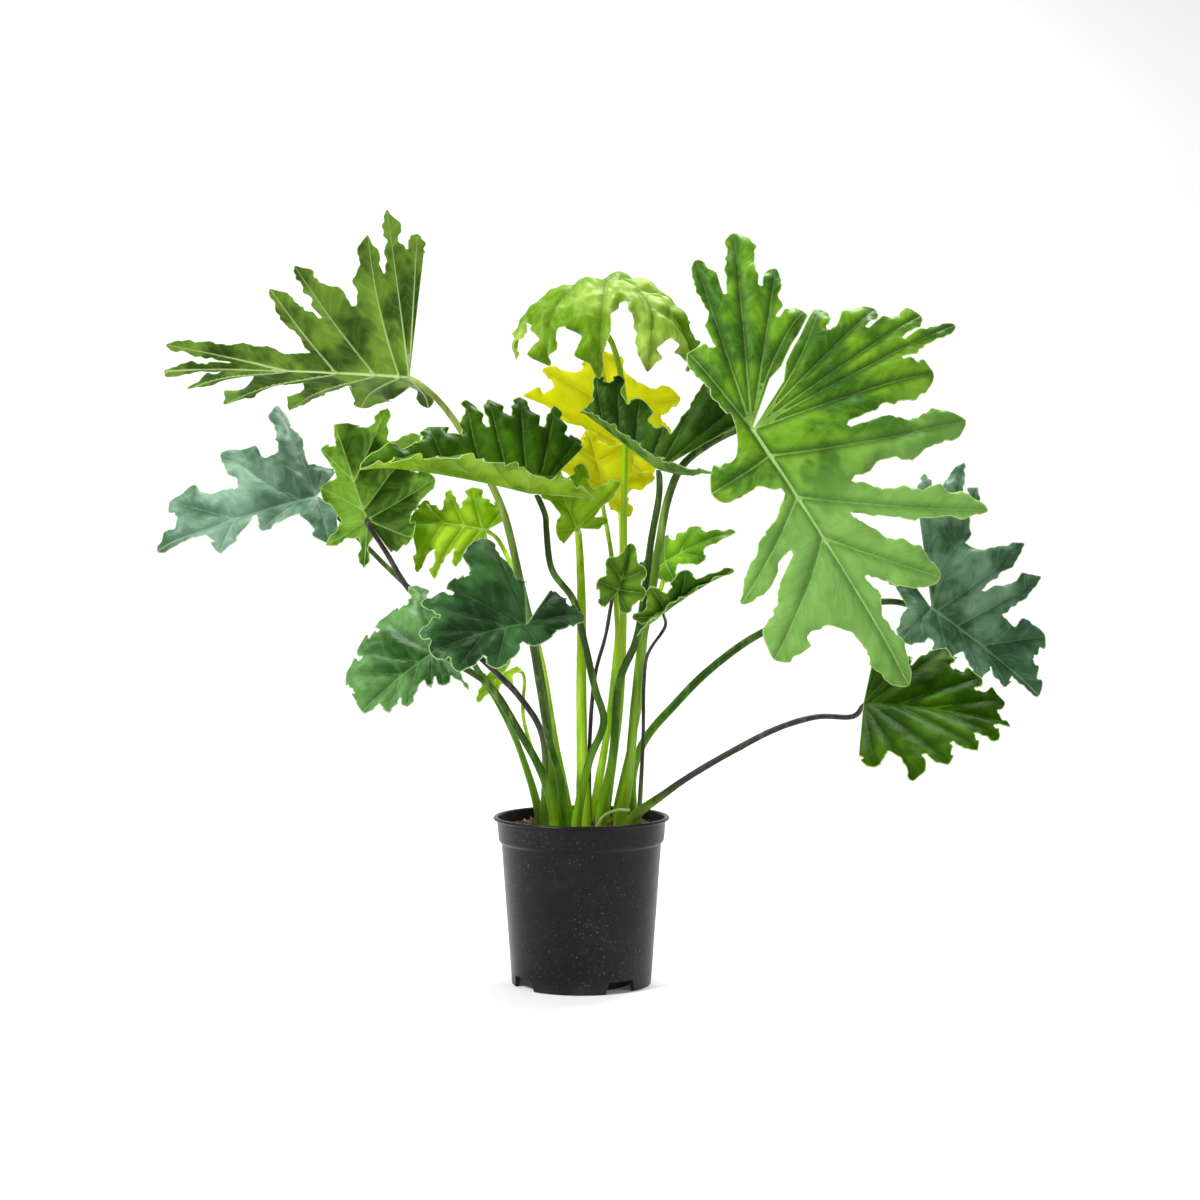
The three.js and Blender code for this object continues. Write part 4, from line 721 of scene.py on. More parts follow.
def drawn_leaf(leaf):
    """The outline, all the ribs with the midrib first, and which of them runs to the tip."""
    sides = {sign: side_lobes(leaf, sign) for sign in (1, -1)}
    tip_gaps = [lobes[-2]["gap"] for lobes in sides.values()]
    back = back_divider(sides[1][0], sides[-1][0])
    chains, ribs = {}, []
    for sign, lobes in sides.items():
        chain = []
        for k, lobe in enumerate(lobes):
            before = lobes[k - 1] if k else None
            after = lobes[k + 1] if k + 1 < len(lobes) else None
            gaps = [each["gap"] for each in (before, lobe) if each] if after else tip_gaps
            mean = sum(reach_of(lobe, gap) for gap in gaps) / len(gaps)
            web = min(WEB_RANGE[1], max(WEB_RANGE[0], mean))
            if before:
                first = (before["gap"], False, divider_at(before["gap"], before, lobe))
            else:
                rib = rib_point(lobe, web)
                gap = minus(rib, [value * leaf["sinus"] for value in minus(lobe["gap"], rib)])
                if leaf["bare"] > 0:
                    chain.append((beside(lobe, leaf["bare"], sign * BARE_WIDTH), 0))
                    gap = beside(lobe, leaf["bare"] + BARE_END, sign * leaf["finger"])
                first = (gap, True, back)
            margin, hang = half_margin(leaf, lobe, k, sign, 0, *first)
            chain += margin
            if after or sign > 0:
                rib = drawn_rib(lobe, web, hang)
                ribs.append(rib)
            if after:
                chain.append(rib[-1])
                second = (lobe["gap"], False, divider_at(lobe["gap"], lobe, after))
                margin, _ = half_margin(leaf, lobe, k, sign, 1, *second)
                chain += margin[:0:-1]
        chains[sign] = chain
    tip_rib = ribs[len(sides[1]) - 1]
    outline = [((0.0, 0.0), 0.0)] + chains[1] + [tip_rib[-1]] + chains[-1][::-1]
    spine_end = leaf["plan"]["tip_start"]
    spine = [([spine_end * i / RIB_STEPS, 0], 0) for i in range(RIB_STEPS + 1)]
    return outline, [spine] + ribs, len(sides[1])


print("points on each rib:", RIB_STEPS + 1)

# %% [markdown]
# ## Leaf paint
# A leaf's colour is told by where a point lies: on a rib, in the valley beside it, which is darkened as
# painted shade, on the streaks that slant away from it, at the thin pale rim, or on the underside. Each
# blade carries those distances as attributes of its own mesh, so the drawing follows the ribs whatever way
# the blade is bent. The streaks aren't the same on the two sides of a rib. Some light shines through,
# which makes the young leaves glow.

# %% Leaf paint
LEAF_SHADE = 0.70
RIM_SHOW = 0.85


def leaf_paint(name, tones, shows, glow, shine_through, sheen="8cc458", valley=0.7, gloss=0.36, patch=None):
    """Tones: deep and light above, deep and light below, rib, rim. Shows: how clearly the midrib, the
    other ribs above and all the ribs below stand out. Patch: a tone, its start and end, its strength."""
    paint = Paint(name)
    deep, light, under, under_light, vein, rim = (colour(tone, LEAF_SHADE) for tone in tones)
    off_rib = paint.own("rib_distance")
    on_rib = 1 - paint.step(off_rib, -0.5, 0.45)
    near_rib = (1 - paint.step(off_rib, 0.2, 8.0)) * (1 - on_rib)
    rim_line = 1 - paint.step(paint.own("edge_distance"), 0.35, 1.3)
    below = paint.own("underside")
    veins = paint.node("ShaderNodeUVMap", {"uv_map": "veins"})
    along, off = paint.axis(veins, "X"), paint.axis(veins, "Y")
    apart = paint.math("ABSOLUTE", off)
    slant = (along - apart * 1.3 + paint.noise(45, 1) * 26.0) * 0.13
    one_side = paint.step(off, -0.01, 0.01) * 7.3
    slanted = paint.node("ShaderNodeCombineXYZ", None, {0: slant, 1: apart * 0.016, 2: one_side + below})
    streaks = paint.noise(1.0, 2, slanted)
    strong_streaks = paint.step(streaks, 0.44, 0.64)
    clouds = paint.step(paint.noise(17, 3), 0.41, 0.60)
    grain = paint.noise(380, 3)
    tone = clouds * 0.78 + strong_streaks * 0.22
    upper = paint.blend(tone, deep, light)
    # Painted shade: beside each rib the upper face darkens towards a half-bright copy of its deep tone.
    upper = paint.blend(near_rib * valley, upper, colour(tones[0], 0.5 * LEAF_SHADE))
    skin = paint.blend(below, upper, paint.blend(tone, under, under_light))
    if patch:
        tint, start, end, strength = patch
        # Painted shade: inside the patch the deep tone comes back near the ribs, and a little on the streaks
        # and clouds.
        darker = strong_streaks * 0.18 + near_rib * 0.3 + clouds * 0.12
        tinted = paint.blend(darker, colour(tint, LEAF_SHADE), deep)
        place = paint.own("forward") + clouds * 0.08
        skin = paint.blend(paint.step(place, start, end) * strength, skin, tinted)
    skin = paint.blend(grain * 0.1, skin, vein)
    on_top, on_others, on_under = shows
    above_show = paint.own("rib_rank") * (on_top - on_others) + on_others
    rib_show = above_show * (1 - below) + below * on_under
    skin = paint.blend(on_rib * rib_show, skin, vein)
    skin = paint.blend(rim_line * RIM_SHOW, skin, rim)
    relief = paint.bump(streaks * 0.7 + grain * 0.12 - on_rib * 0.2, 0.0012, 0.7)
    leaf = paint.surface(skin, grain * 0.14 + below * 0.1 + gloss, relief, 0.26, colour(sheen))
    through = paint.node("ShaderNodeBsdfTranslucent", None, {"Color": colour(glow), "Normal": relief})
    return paint.finished(paint.node("ShaderNodeMixShader", None, {0: shine_through, 1: leaf, 2: through}))

# %% [markdown]
# The blades aren't all alike. The oldest are dark, and one of them is blue-green with pale patches of
# painted sheen. The broad one on the right is a clear green with a pale midrib, and the youngest are
# yellow-green and thin. One blade's bright underside is partly its own paler green and partly painted
# light shining through it. Two blades change colour along their length: the far left one is dark at its
# tip, and the broad one is paler below, where a painted sheen lies on it as it bends down towards the camera.

# %% Leaf colours
LEAF_PAINTS = {
    # Far left: blue-green, with its pale light tones painted as sheen.
    "far_left": leaf_paint(
        "leaf_bloom", ("486e50", "92b89c", "3c7026", "74a050", "a8ccb0", "c8e0bc"), (0.45, 0.25, 0.7),
        "7fae5c", 0.06, "c0d8c8", valley=0.2, patch=("2c5a1c", 0.86, 1.0, 0.9)),
    "upper_left": leaf_paint(
        "leaf_olive", ("3c7010", "6a9c2c", "264c00", "8cb83c", "d8f0a0", "88b43c"), (0.5, 0.3, 0.95),
        "8fc414", 0.1),
    "left": leaf_paint(
        "leaf_old_green", ("285404", "6c9c24", "1c4000", "7cac34", "a4cc64", "b4d67c"), (0.4, 0.2, 0.7),
        "86b52a", 0.06),
    # Middle left: its bright underside tones are partly its own paler green and partly painted light shining
    # through.
    "centre_left": leaf_paint(
        "leaf_two_tone", ("1c4200", "4c7c0c", "6a9a06", "b2da34", "7fb83c", "d0ec7c"), (0.35, 0.15, 0.4),
        "a6cf10", 0.08),
    "lower_front": leaf_paint(
        "leaf_deep", ("102e0c", "44743c", "2c5c20", "5c8c50", "6c9c68", "b4dca0"), (0.35, 0.15, 0.6),
        "4f8a3c", 0.04, "98c098", valley=0.4),
    "lower_left": leaf_paint(
        "leaf_dusky", ("1c4a10", "70a458", "346c24", "70a060", "8cbc78", "bce0a4"), (0.35, 0.2, 0.6),
        "4f8a3c", 0.05, "98c098", valley=0.3),
    "centre_right": leaf_paint(
        "leaf_dark", ("123400", "4c7820", "34640c", "84b440", "8cbc5c", "b8dc84"), (0.35, 0.15, 0.6),
        "74a82a", 0.07),
    # Broad blade: the paler patch on its lower part is a painted sheen where the blade bends down towards the
    # camera.
    "great_right": leaf_paint(
        "leaf_clear", ("2c6200", "7eb41c", "5f9a30", "86b854", "b8e088", "cce890"), (0.9, 0.2, 0.9),
        "86c422", 0.08, "98cc6c", valley=0.75, patch=("96cc68", 0.14, 0.50, 0.8)),
    "far_right": leaf_paint(
        "leaf_grey_green", ("2c5c34", "8ab690", "4f8048", "86b084", "a0c8a0", "b8d8a4"), (0.45, 0.2, 0.6),
        "5f9440", 0.05, "b8d4bc", valley=0.3),
    "lower_right": leaf_paint(
        "leaf_mid_green", ("163a00", "487410", "5c8c24", "90bc50", "5c8c24", "cce88c"), (0.2, 0.06, 0.7),
        "7ab522", 0.08, "78b030", gloss=0.5),
    "bright": leaf_paint(
        "leaf_bright", ("4c8c04", "98cc28", "7ab020", "a4d040", "b4dc60", "cbe880"), (0.5, 0.3, 0.7),
        "a6dc10", 0.22),
    "young": leaf_paint(
        "leaf_young", ("6ea400", "bce030", "8cc004", "c8e83c", "d0ea70", "e8f6a4"), (0.5, 0.3, 0.6),
        "c8ee10", 0.3),
    "top": leaf_paint(
        "leaf_pale", ("6c9c00", "c8e668", "84b400", "c4e424", "cce880", "e4f4a0"), (0.5, 0.3, 0.6),
        "c8ec10", 0.3, "b4d878", valley=0.5),
    "back": leaf_paint(
        "leaf_yellow", ("d4de00", "f6f634", "dce600", "f6f640", "f0f47a", "f8f8a8"), (0.4, 0.3, 0.5),
        "f8f600", 0.45),
}
print("leaf paints:", len(LEAF_PAINTS))

# %% [markdown]
# ## Filling the outline with fine triangles
# The outline and the ribs are lines that the triangles must follow. Evenly spread points fill the rest.
# The lifts known along those lines spread over the blade like the skin of a drum.

# %% Distances to lines
def segments_of(lines):
    """Every straight piece of some lines: its ends, its line's number and how far along it starts."""
    starts, ends, numbers, before = [], [], [], []
    for number, line in enumerate(lines):
        line = np.array(line, float)
        step = np.hypot(*(line[1:] - line[:-1]).T)
        starts.append(line[:-1])
        ends.append(line[1:])
        numbers.append(np.full(len(step), number))
        before.append(np.concatenate([[0], np.cumsum(step)[:-1]]))
    return [np.concatenate(part) for part in (starts, ends, numbers, before)]


def nearest(points, segments):
    """For each point: its distance to the nearest line, which line, and how far along it."""
    starts, ends, numbers, before = segments
    run = ends - starts
    length = np.maximum(np.hypot(*run.T), 1e-12)
    found = [[], [], []]
    for block in np.array_split(points, max(1, len(points) // 3000)):
        to = block[:, None] - starts
        share = np.clip((to * run).sum(2) / length ** 2, 0, 1)
        away = np.hypot(*np.moveaxis(to - share[:, :, None] * run, 2, 0))
        best = away.argmin(1)
        row = np.arange(len(block))
        found[0].append(away[row, best])
        found[1].append(numbers[best])
        found[2].append(before[best] + share[row, best] * length[best])
    return [np.concatenate(part) for part in found]


def winding(points, loop):
    """How many times the outline runs round each point."""
    turns = np.zeros(len(points))
    start, end = loop, np.roll(loop, -1, 0)
    for block in np.array_split(np.arange(len(points)), max(1, len(points) // 3000)):
        x, y = points[block].T[:, :, None]
        left = (end[:, 0] - start[:, 0]) * (y - start[:, 1]) - (x - start[:, 0]) * (end[:, 1] - start[:, 1])
        up = (start[:, 1] <= y) & (end[:, 1] > y) & (left > 0)
        down = (start[:, 1] > y) & (end[:, 1] <= y) & (left < 0)
        turns[block] = up.sum(1) - down.sum(1)
    return turns

# %% [markdown]
# Ribs are thick at the joint and thin out along the lobe. Two more lines of points beside every rib
# give it flanks, so that it stands out of the blade as a real ridge.

# %% Triangles of a flat blade
MIDRIB_HALF_WIDTH, RIB_HALF_WIDTH = 2.1, 1.2
ROW_SPACING, CLEAR_OF_EDGE, CLEAR_OF_RIB, FLANK_CLEAR_OF_EDGE = 0.866, 0.55, 0.75, 0.3
LEAST_AREA = 1e-10


def rib_half_width(line, along, length):
    """In fractions of the midrib: the first line is the midrib, and the others are the lobes' ribs."""
    full = np.where(line == 0, MIDRIB_HALF_WIDTH, RIB_HALF_WIDTH) * MM / length * min(1, 0.45 + length / 0.3)
    reach = np.where(line == 0, 1.1, 0.75)
    return full * np.clip(1 - along / reach, 0.2, 1)


def beside_ribs(ribs, rib_segments, length):
    spots = []
    for number, rib in enumerate(ribs):
        line = np.array([flat for flat, _ in rib], float)
        step = line[1:] - line[:-1]
        step /= np.maximum(np.hypot(*step.T), 1e-12)[:, None]
        middle = (line[1:] + line[:-1]) / 2
        along = np.cumsum(np.hypot(*(line[1:] - line[:-1]).T))
        wide = rib_half_width(np.full(len(along), number), along, length)[:, None]
        across = np.stack([-step[:, 1], step[:, 0]], 1)
        spots += [middle + across * wide, middle - across * wide]
    spots = np.concatenate(spots)
    away, line, along = nearest(spots, rib_segments)
    return spots[away > 0.9 * rib_half_width(line, along, length)]


def filling(loop, edge_segments, rib_segments, gap):
    """Staggered rows of points inside a line, each clear of the edge and of the ribs."""
    low, high = loop.min(0), loop.max(0)
    grid = []
    for k, y in enumerate(np.arange(low[1], high[1], gap * ROW_SPACING)):
        row = np.arange(low[0] + (k % 2) * gap / 2, high[0], gap)
        grid.append(np.stack([row, np.full_like(row, y)], 1))
    grid = np.concatenate(grid)
    grid = grid[winding(grid, loop) != 0]
    off_edge, off_rib = nearest(grid, edge_segments)[0], nearest(grid, rib_segments)[0]
    return grid[(off_edge > CLEAR_OF_EDGE * gap) & (off_rib > CLEAR_OF_RIB * gap)]


def flat_mesh(outline, ribs, length, spacing):
    """A flat blade: its points, triangles and known lifts, then the pieces of its ribs and its edge."""
    loop = np.array([flat for flat, _ in outline], float)
    rib_segments = segments_of([[flat for flat, _ in rib] for rib in ribs])
    edge_segments = segments_of([np.concatenate([loop, loop[:1]])])
    gap = spacing / length
    grid = filling(loop, edge_segments, rib_segments, gap)
    flanks = beside_ribs(ribs, rib_segments, length)
    flanks = flanks[winding(flanks, loop) != 0]
    flanks = flanks[nearest(flanks, edge_segments)[0] > FLANK_CLEAR_OF_EDGE * gap]
    given = [tuple(flat) for flat, _ in outline]
    lifts = [lift for _, lift in outline]
    edges = [(i, (i + 1) % len(given)) for i in range(len(given))]
    for rib in ribs:
        first = len(given)
        given += [tuple(flat) for flat, _ in rib]
        lifts += [lift for _, lift in rib]
        edges += [(first + i, first + i + 1) for i in range(len(rib) - 1)]
    known = len(given)
    given += [tuple(spot) for spot in np.concatenate([flanks, grid])]
    made = delaunay_2d_cdt([Vector(spot) for spot in given], edges, [], 1, 1e-6)
    points = np.array([tuple(spot) for spot in made[0]], float)
    faces = np.array([face for face in made[2] if len(face) == 3], int)
    faces = faces[winding(points[faces].mean(1), loop) != 0]
    one, two = (points[faces[:, n]] - points[faces[:, 0]] for n in (1, 2))
    area = one[:, 0] * two[:, 1] - one[:, 1] * two[:, 0]
    faces, area = faces[np.abs(area) > LEAST_AREA], area[np.abs(area) > LEAST_AREA]
    faces[area < 0] = faces[area < 0][:, ::-1]
    lift = np.full(len(points), np.nan)
    for i, origins in enumerate(made[3]):
        held = [lifts[origin] for origin in origins if origin < known]
        if held:
            lift[i] = held[0]
    used, faces = np.unique(faces, return_inverse=True)
    return points[used], faces.reshape(-1, 3), lift[used], rib_segments, edge_segments


def directed_sides(faces):
    return np.concatenate([faces[:, [0, 1]], faces[:, [1, 2]], faces[:, [2, 0]]])


def relaxed(values, faces, free, rounds):
    """Moves each free value to the mean of its neighbours, over and over."""
    sides = directed_sides(faces)
    a, b = np.concatenate([sides, sides[:, ::-1]]).T
    count = np.maximum(np.bincount(a, minlength=len(values)), 1)
    for _ in range(rounds):
        mean = np.bincount(a, weights=values[b], minlength=len(values)) / count
        values = np.where(free, mean, values)
    return values

# %% [markdown]
# ## Bending the flat blade
# A real blade isn't flat: its halves fold up along the midrib like an open book, and its ends droop.
# The fold is rounded over the midrib. The direction out of the upper face is worked out from two tiny
# steps along and across.

# %% Bending
FOLD_ROUNDING = 0.012


def bent(leaf, flat):
    """The flat points folded along the midrib and drooped, still in fractions of its length."""
    x, y = flat.T
    radius = np.maximum(np.hypot(x, y), 1e-9)
    fold = np.radians(np.where(y > 0, leaf["fold"][0], leaf["fold"][1]))
    raised = np.sqrt(y * y + FOLD_ROUNDING ** 2) - FOLD_ROUNDING
    folded = np.stack([x, y * np.cos(fold), raised * np.sin(fold)], 1)
    tip_droop, side_droop, ear_droop = leaf["droop"]
    end = np.where(x > 0, tip_droop, ear_droop)
    bend = np.radians(end * (x / radius) ** 2 + side_droop * (y / radius) ** 2)
    bend = np.where(np.abs(bend) < 1e-6, 1e-6, bend)
    angle = bend * radius
    folded *= (np.sin(angle) / np.where(np.abs(angle) < 1e-12, 1e-12, angle))[:, None]
    folded[:, 2] += (np.cos(angle) - 1) / bend
    return folded


def normals_of(leaf, flat):
    step = 1e-3
    ahead, aside = (bent(leaf, flat + move) - bent(leaf, flat - move) for move in ([[step, 0]], [[0, step]]))
    normal = np.cross(ahead, aside)
    return normal / np.linalg.norm(normal, axis=1)[:, None]


def leaf_axes(leaf):
    """The joint, the midrib's length, and the blade's own axes: ahead, to its left and out of its face."""
    at, tip = Vector(leaf["at"]) * MM, Vector(leaf["tip"]) * MM
    chord = tip - at
    end = bent(leaf, np.array([[1.0, 0.0]]))[0]
    length = chord.length / math.hypot(end[0], end[2])
    dip = math.atan2(-end[2], end[0])
    along = chord.normalized()
    face = Vector(leaf["face"])
    face = (face - along * face.dot(along)).normalized()
    forward = along * math.cos(dip) + face * math.sin(dip)
    normal = face * math.cos(dip) - along * math.sin(dip)
    return at, length, np.array([forward, normal.cross(forward), normal])


print("midrib of the leaf on the left:", round(leaf_axes(example)[1] / MM), "mm")

# %% [markdown]
# ## A blade as a closed mesh
# The fine sheet is bent, given an upper and a lower skin with a thin rounded edge, and its ribs are
# raised, chiefly on the underside. Young blades are crinkled near the margin. The mesh also carries the
# distances that the leaf paint asks for.

# %% Blade meshes
HALF_THICKNESS = 0.5 * MM
EDGE_HALF_THICKNESS = 0.3 * MM
BULGE_SLOPE, BULGE_LIMIT = 0.85, 7.5 * MM
LIFT_ROUNDS, BULGE_ROUNDS = 260, 4
COARSE_CRINKLE, FINE_CRINKLE, CRINKLE_FADE, FULL_CRINKLE_AT = 38, 95, 12 * MM, 0.16
RIDGE_ABOVE, RIDGE_BELOW = 0.15, 0.9
BLADE_CREASE = 65
BOX = np.array([list(corner) for corner in solid_box])


def crinkled(leaf, flat, length, off_rib):
    """A gentle unevenness, in metres, that grows with the distance from the ribs."""
    depth = (1.2 + 36 * leaf["ruffle"]) * MM * min(1, length / FULL_CRINKLE_AT)
    seed = leaf["seed"]
    values = np.array([
        noise.noise(Vector((x * length * COARSE_CRINKLE, y * length * COARSE_CRINKLE, seed)))
        + 0.45 * noise.noise(Vector((x * length * FINE_CRINKLE, y * length * FINE_CRINKLE, seed + 50)))
        for x, y in flat])
    return depth * CRUMPLING.get(leaf["name"], 1) * values * smooth(off_rib / CRINKLE_FADE)


def bulge(faces, off_rib, off_edge):
    """How far the blade swells between its ribs, which lie in the valleys."""
    height = BULGE_SLOPE * off_rib * off_edge / (off_rib + off_edge + 1e-9)
    height = BULGE_LIMIT * np.tanh(height / BULGE_LIMIT)
    return relaxed(height, faces, (off_rib > 0.5 * MM) & (off_edge > 0.1 * MM), BULGE_ROUNDS)


def vein_places(points, faces, rib_segments, length):
    """For each triangle's corners, in mm: how far along the nearest rib, and how far to its left."""
    starts, ends, numbers, before = rib_segments
    owner = nearest(points[faces].mean(1), rib_segments)[1]
    places = np.zeros((len(faces), 3, 2))
    for number in np.unique(owner):
        mine = numbers == number
        part = (starts[mine], ends[mine], numbers[mine], before[mine])
        rows = np.nonzero(owner == number)[0]
        corners = points[faces[rows]].reshape(-1, 2)
        away, _, along = nearest(corners, part)
        course, reach = part[1][-1] - part[0][0], corners - part[0][0]
        away = np.copysign(away, course[0] * reach[:, 1] - course[1] * reach[:, 0])
        places[rows] = np.stack([along, away], 1).reshape(-1, 3, 2)
    return places * length / MM


def add_values(mesh, name, values):
    layer = mesh.attributes.new(name, "FLOAT", "POINT")
    layer.data.foreach_set("value", np.ascontiguousarray(values, np.float32))


def blade_mesh(name, leaf, spacing):
    """The finished mesh of a blade and its number of triangles."""
    at, length, axes = leaf_axes(leaf)
    leaf["length"] = length
    outline, ribs, tip_line = drawn_leaf(leaf)
    flat, faces, lift, rib_segments, edge_segments = flat_mesh(outline, ribs, length, spacing)
    lift = relaxed(np.nan_to_num(lift), faces, np.isnan(lift), LIFT_ROUNDS)
    rib_away, rib_line, rib_along = nearest(flat, rib_segments)
    edge_away = nearest(flat, edge_segments)[0] * length
    rib_wide = rib_half_width(rib_line, rib_along, length) * length
    rib_away = rib_away * length
    up = normals_of(leaf, flat)
    lift = lift * length + crinkled(leaf, flat, length, rib_away) + bulge(faces, rib_away, edge_away)
    ridge = smooth(1 - rib_away / (1.3 * rib_wide)) * np.minimum(1, edge_away / (3 * MM))
    thin = EDGE_HALF_THICKNESS + (HALF_THICKNESS - EDGE_HALF_THICKNESS) * smooth(edge_away / (2 * MM))
    sheet = bent(leaf, flat) * length + up * lift[:, None]
    upper = sheet + up * (thin + RIDGE_ABOVE * rib_wide * ridge)[:, None]
    lower = sheet - up * (thin + RIDGE_BELOW * rib_wide * ridge)[:, None]
    points = np.clip(np.concatenate([upper, lower]) @ axes + np.array(at), BOX[0], BOX[1])
    count = len(flat)
    start, end = directed_sides(faces).T
    alone = ~np.isin(start * count + end, end * count + start)
    start, end = start[alone], end[alone]
    walls = np.concatenate([
        np.stack([start, start + count, end + count], 1), np.stack([start, end + count, end], 1)])
    every = np.concatenate([faces, (faces + count)[:, ::-1], walls])
    mesh = bpy.data.meshes.new(name)
    mesh.from_pydata(points.tolist(), [], every.tolist())
    add_values(mesh, "underside", np.repeat([0.0, 1.0], count))
    for label, values in (("rib_distance", (rib_away - rib_wide) / MM), ("edge_distance", edge_away / MM),
                          ("rib_rank", (rib_line == 0) | (rib_line == tip_line)), ("forward", flat[:, 0])):
        add_values(mesh, label, np.tile(values, 2))
    places = vein_places(flat, faces, rib_segments, length)
    edge_places = np.zeros((len(walls), 3, 2))
    layer = mesh.uv_layers.new(name="veins")
    layer.data.foreach_set("uv", np.concatenate([places, places[:, ::-1], edge_places]).ravel())
    mesh.shade_smooth()
    mesh.set_sharp_from_angle(angle=math.radians(BLADE_CREASE))
    return mesh, len(every)

# %% [markdown]
# Every blade takes the place of its solid. Most blades have a paint of their own name, and a table
# of the few that share another's paint picks theirs.

# %% Blades
PAINT_OF = {
    "young_left": "young", "centre": "young", "low_back": "young", "behind_right": "bright",
    "inner_right": "back", "rolled_right": "left", "cupped": "left",
}
SPACING = 2.6


def link(mesh, name):
    piece = bpy.data.objects.new(name, mesh)
    stage_scene.collection.objects.link(piece)
    return piece


def placed(piece, node, slot):
    """Makes a piece stand for its measured solid."""
    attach(piece, "root")
    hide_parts(node)


total = 0
for name, row in LEAVES.items():
    leaf = {**GROWTH, **row, "plan": PLANS[row.get("plan", name)], "name": name}
    mesh, count = blade_mesh(f"lacy_blade_{name}", leaf, SPACING * MM)
    mesh.materials.append(LEAF_PAINTS[PAINT_OF.get(name, name)])
    placed(link(mesh, mesh.name), f"blade_{name}", leaf["finish"])
    total += count
    print(f"{name}: {count} triangles")
print("all blades:", total)

# %% [markdown]
# ## Trees of geometry nodes
# A stalk is a profile swept along a path, and the crumbs on the soil are one shape strewn many times.
# Both are rules rather than drawings, which is what geometry nodes are good at. The same small class
# that writes materials also writes these trees.

# %% Rules
class Rule(Graph):
    """A geometry node tree with named inputs."""

    def __init__(self, name, inputs):
        super().__init__(bpy.data.node_groups.new(name, "GeometryNodeTree"))
        self.tree.interface.new_socket("Geometry", in_out="INPUT", socket_type="NodeSocketGeometry")
        self.tree.interface.new_socket("Geometry", in_out="OUTPUT", socket_type="NodeSocketGeometry")
        for label, kind in inputs.items():
            self.tree.interface.new_socket(label, in_out="INPUT", socket_type=kind)
        self.source = self.tree.nodes.new("NodeGroupInput")
        self.start = self.given("Geometry")

    def given(self, label):
        return Wire(self, self.source.outputs[label])

    def random_vector(self, least, greatest, seed):
        return self.node("FunctionNodeRandomValue", {"data_type": "FLOAT_VECTOR"}, {
            0: least, 1: greatest, "Seed": seed})

    def random_number(self, least, greatest, seed):
        return self.node("FunctionNodeRandomValue", {"data_type": "FLOAT"}, {
            2: least, 3: greatest, "Seed": seed}, output=1)

    def finished(self, geometry):
        whole = self.node("GeometryNodeRealizeInstances", None, {0: geometry})
        painted = self.node("GeometryNodeSetMaterial", None, {0: whole, "Material": self.given("Material")})
        end = self.tree.nodes.new("NodeGroupOutput")
        self.tree.links.new(painted.socket, end.inputs[0])
        return self


def made_plain(piece):
    """Turns what a piece's modifiers give into its own mesh."""
    bpy.context.view_layer.update()
    plain = bpy.data.meshes.new_from_object(piece.evaluated_get(bpy.context.evaluated_depsgraph_get()))
    piece.modifiers.clear()
    piece.data = plain


def grown(rule, mesh, name, values):
    """Runs a rule on a mesh and returns the result as a plain piece."""
    piece = link(mesh, name)
    modifier = piece.modifiers.new("rule", "NODES")
    modifier.node_group = rule.tree
    for item in rule.tree.interface.items_tree:
        if item.in_out == "INPUT" and item.name in values:
            modifier[item.identifier] = values[item.name]
    made_plain(piece)
    piece.data.name = name
    return piece

# %% [markdown]
# ## The path of a stalk
# A stalk rises straight out of the soil, passes some points, and comes up to its blade from below. A
# smooth curve through the points needs a slope at each one, and slopes worked out from the distances
# between the points keep it from swinging out.

# %% Smooth paths
SOIL_TOP = 168
ROOTED_DEPTH = 20
STRAIGHT_RISE = 10
NECK_LENGTH = 24
SHEATH_LENGTH = 110
BLADE_THICKNESS = 1
CURVE_STEPS = 40


def smooth_path(points, step):
    """Points every few mm along a curve through the given ones."""
    knots = [np.array(p, float) for p in points]
    knots = [2 * knots[0] - knots[1]] + knots + [2 * knots[-1] - knots[-2]]
    fine = []
    for p0, p1, p2, p3 in zip(knots, knots[1:], knots[2:], knots[3:]):
        d0, d1, d2 = (np.sum((b - a) ** 2) ** 0.25 for a, b in ((p0, p1), (p1, p2), (p2, p3)))
        slope_in = ((p1 - p0) / d0 - (p2 - p0) / (d0 + d1) + (p2 - p1) / d1) * d1
        slope_out = ((p2 - p1) / d1 - (p3 - p1) / (d1 + d2) + (p3 - p2) / d2) * d1
        for t in np.linspace(0, 1, CURVE_STEPS, endpoint=False):
            fine.append(p1 + slope_in * t + (-3 * p1 + 3 * p2 - 2 * slope_in - slope_out) * t * t
                        + (2 * p1 - 2 * p2 + slope_in + slope_out) * t ** 3)
    fine = np.array(fine + [knots[-2]])
    along = np.concatenate([[0], np.cumsum(np.linalg.norm(fine[1:] - fine[:-1], axis=1))])
    stops = np.linspace(0, along[-1], max(8, round(along[-1] / step)) + 1)
    return np.stack([np.interp(stops, along, fine[:, n]) for n in range(3)], 1), stops


def stalk_points(leaf):
    _, _, (forward, _, normal) = leaf_axes(leaf)
    joint = np.array(leaf["at"], float) - normal * (BLADE_THICKNESS / 2 + leaf["gap"])
    arrival = 0.8 * normal + 0.6 * forward
    neck = joint - arrival / np.linalg.norm(arrival) * NECK_LENGTH
    upright = [[*leaf["base"], SOIL_TOP + rise] for rise in (-ROOTED_DEPTH, -ROOTED_DEPTH / 4, STRAIGHT_RISE)]
    return [*upright, *leaf["through"], neck, joint], np.array(normal)


def stalk_radii(radii, along):
    base, middle, top = radii
    sheath = np.maximum(0, 1 - along / SHEATH_LENGTH) ** 1.5
    return middle + (top - middle) * (along / along[-1]) ** 2 + (base - middle) * sheath


print("stalk of the leaf on the left:", round(smooth_path(stalk_points(example)[0], 5)[1][-1]), "mm")
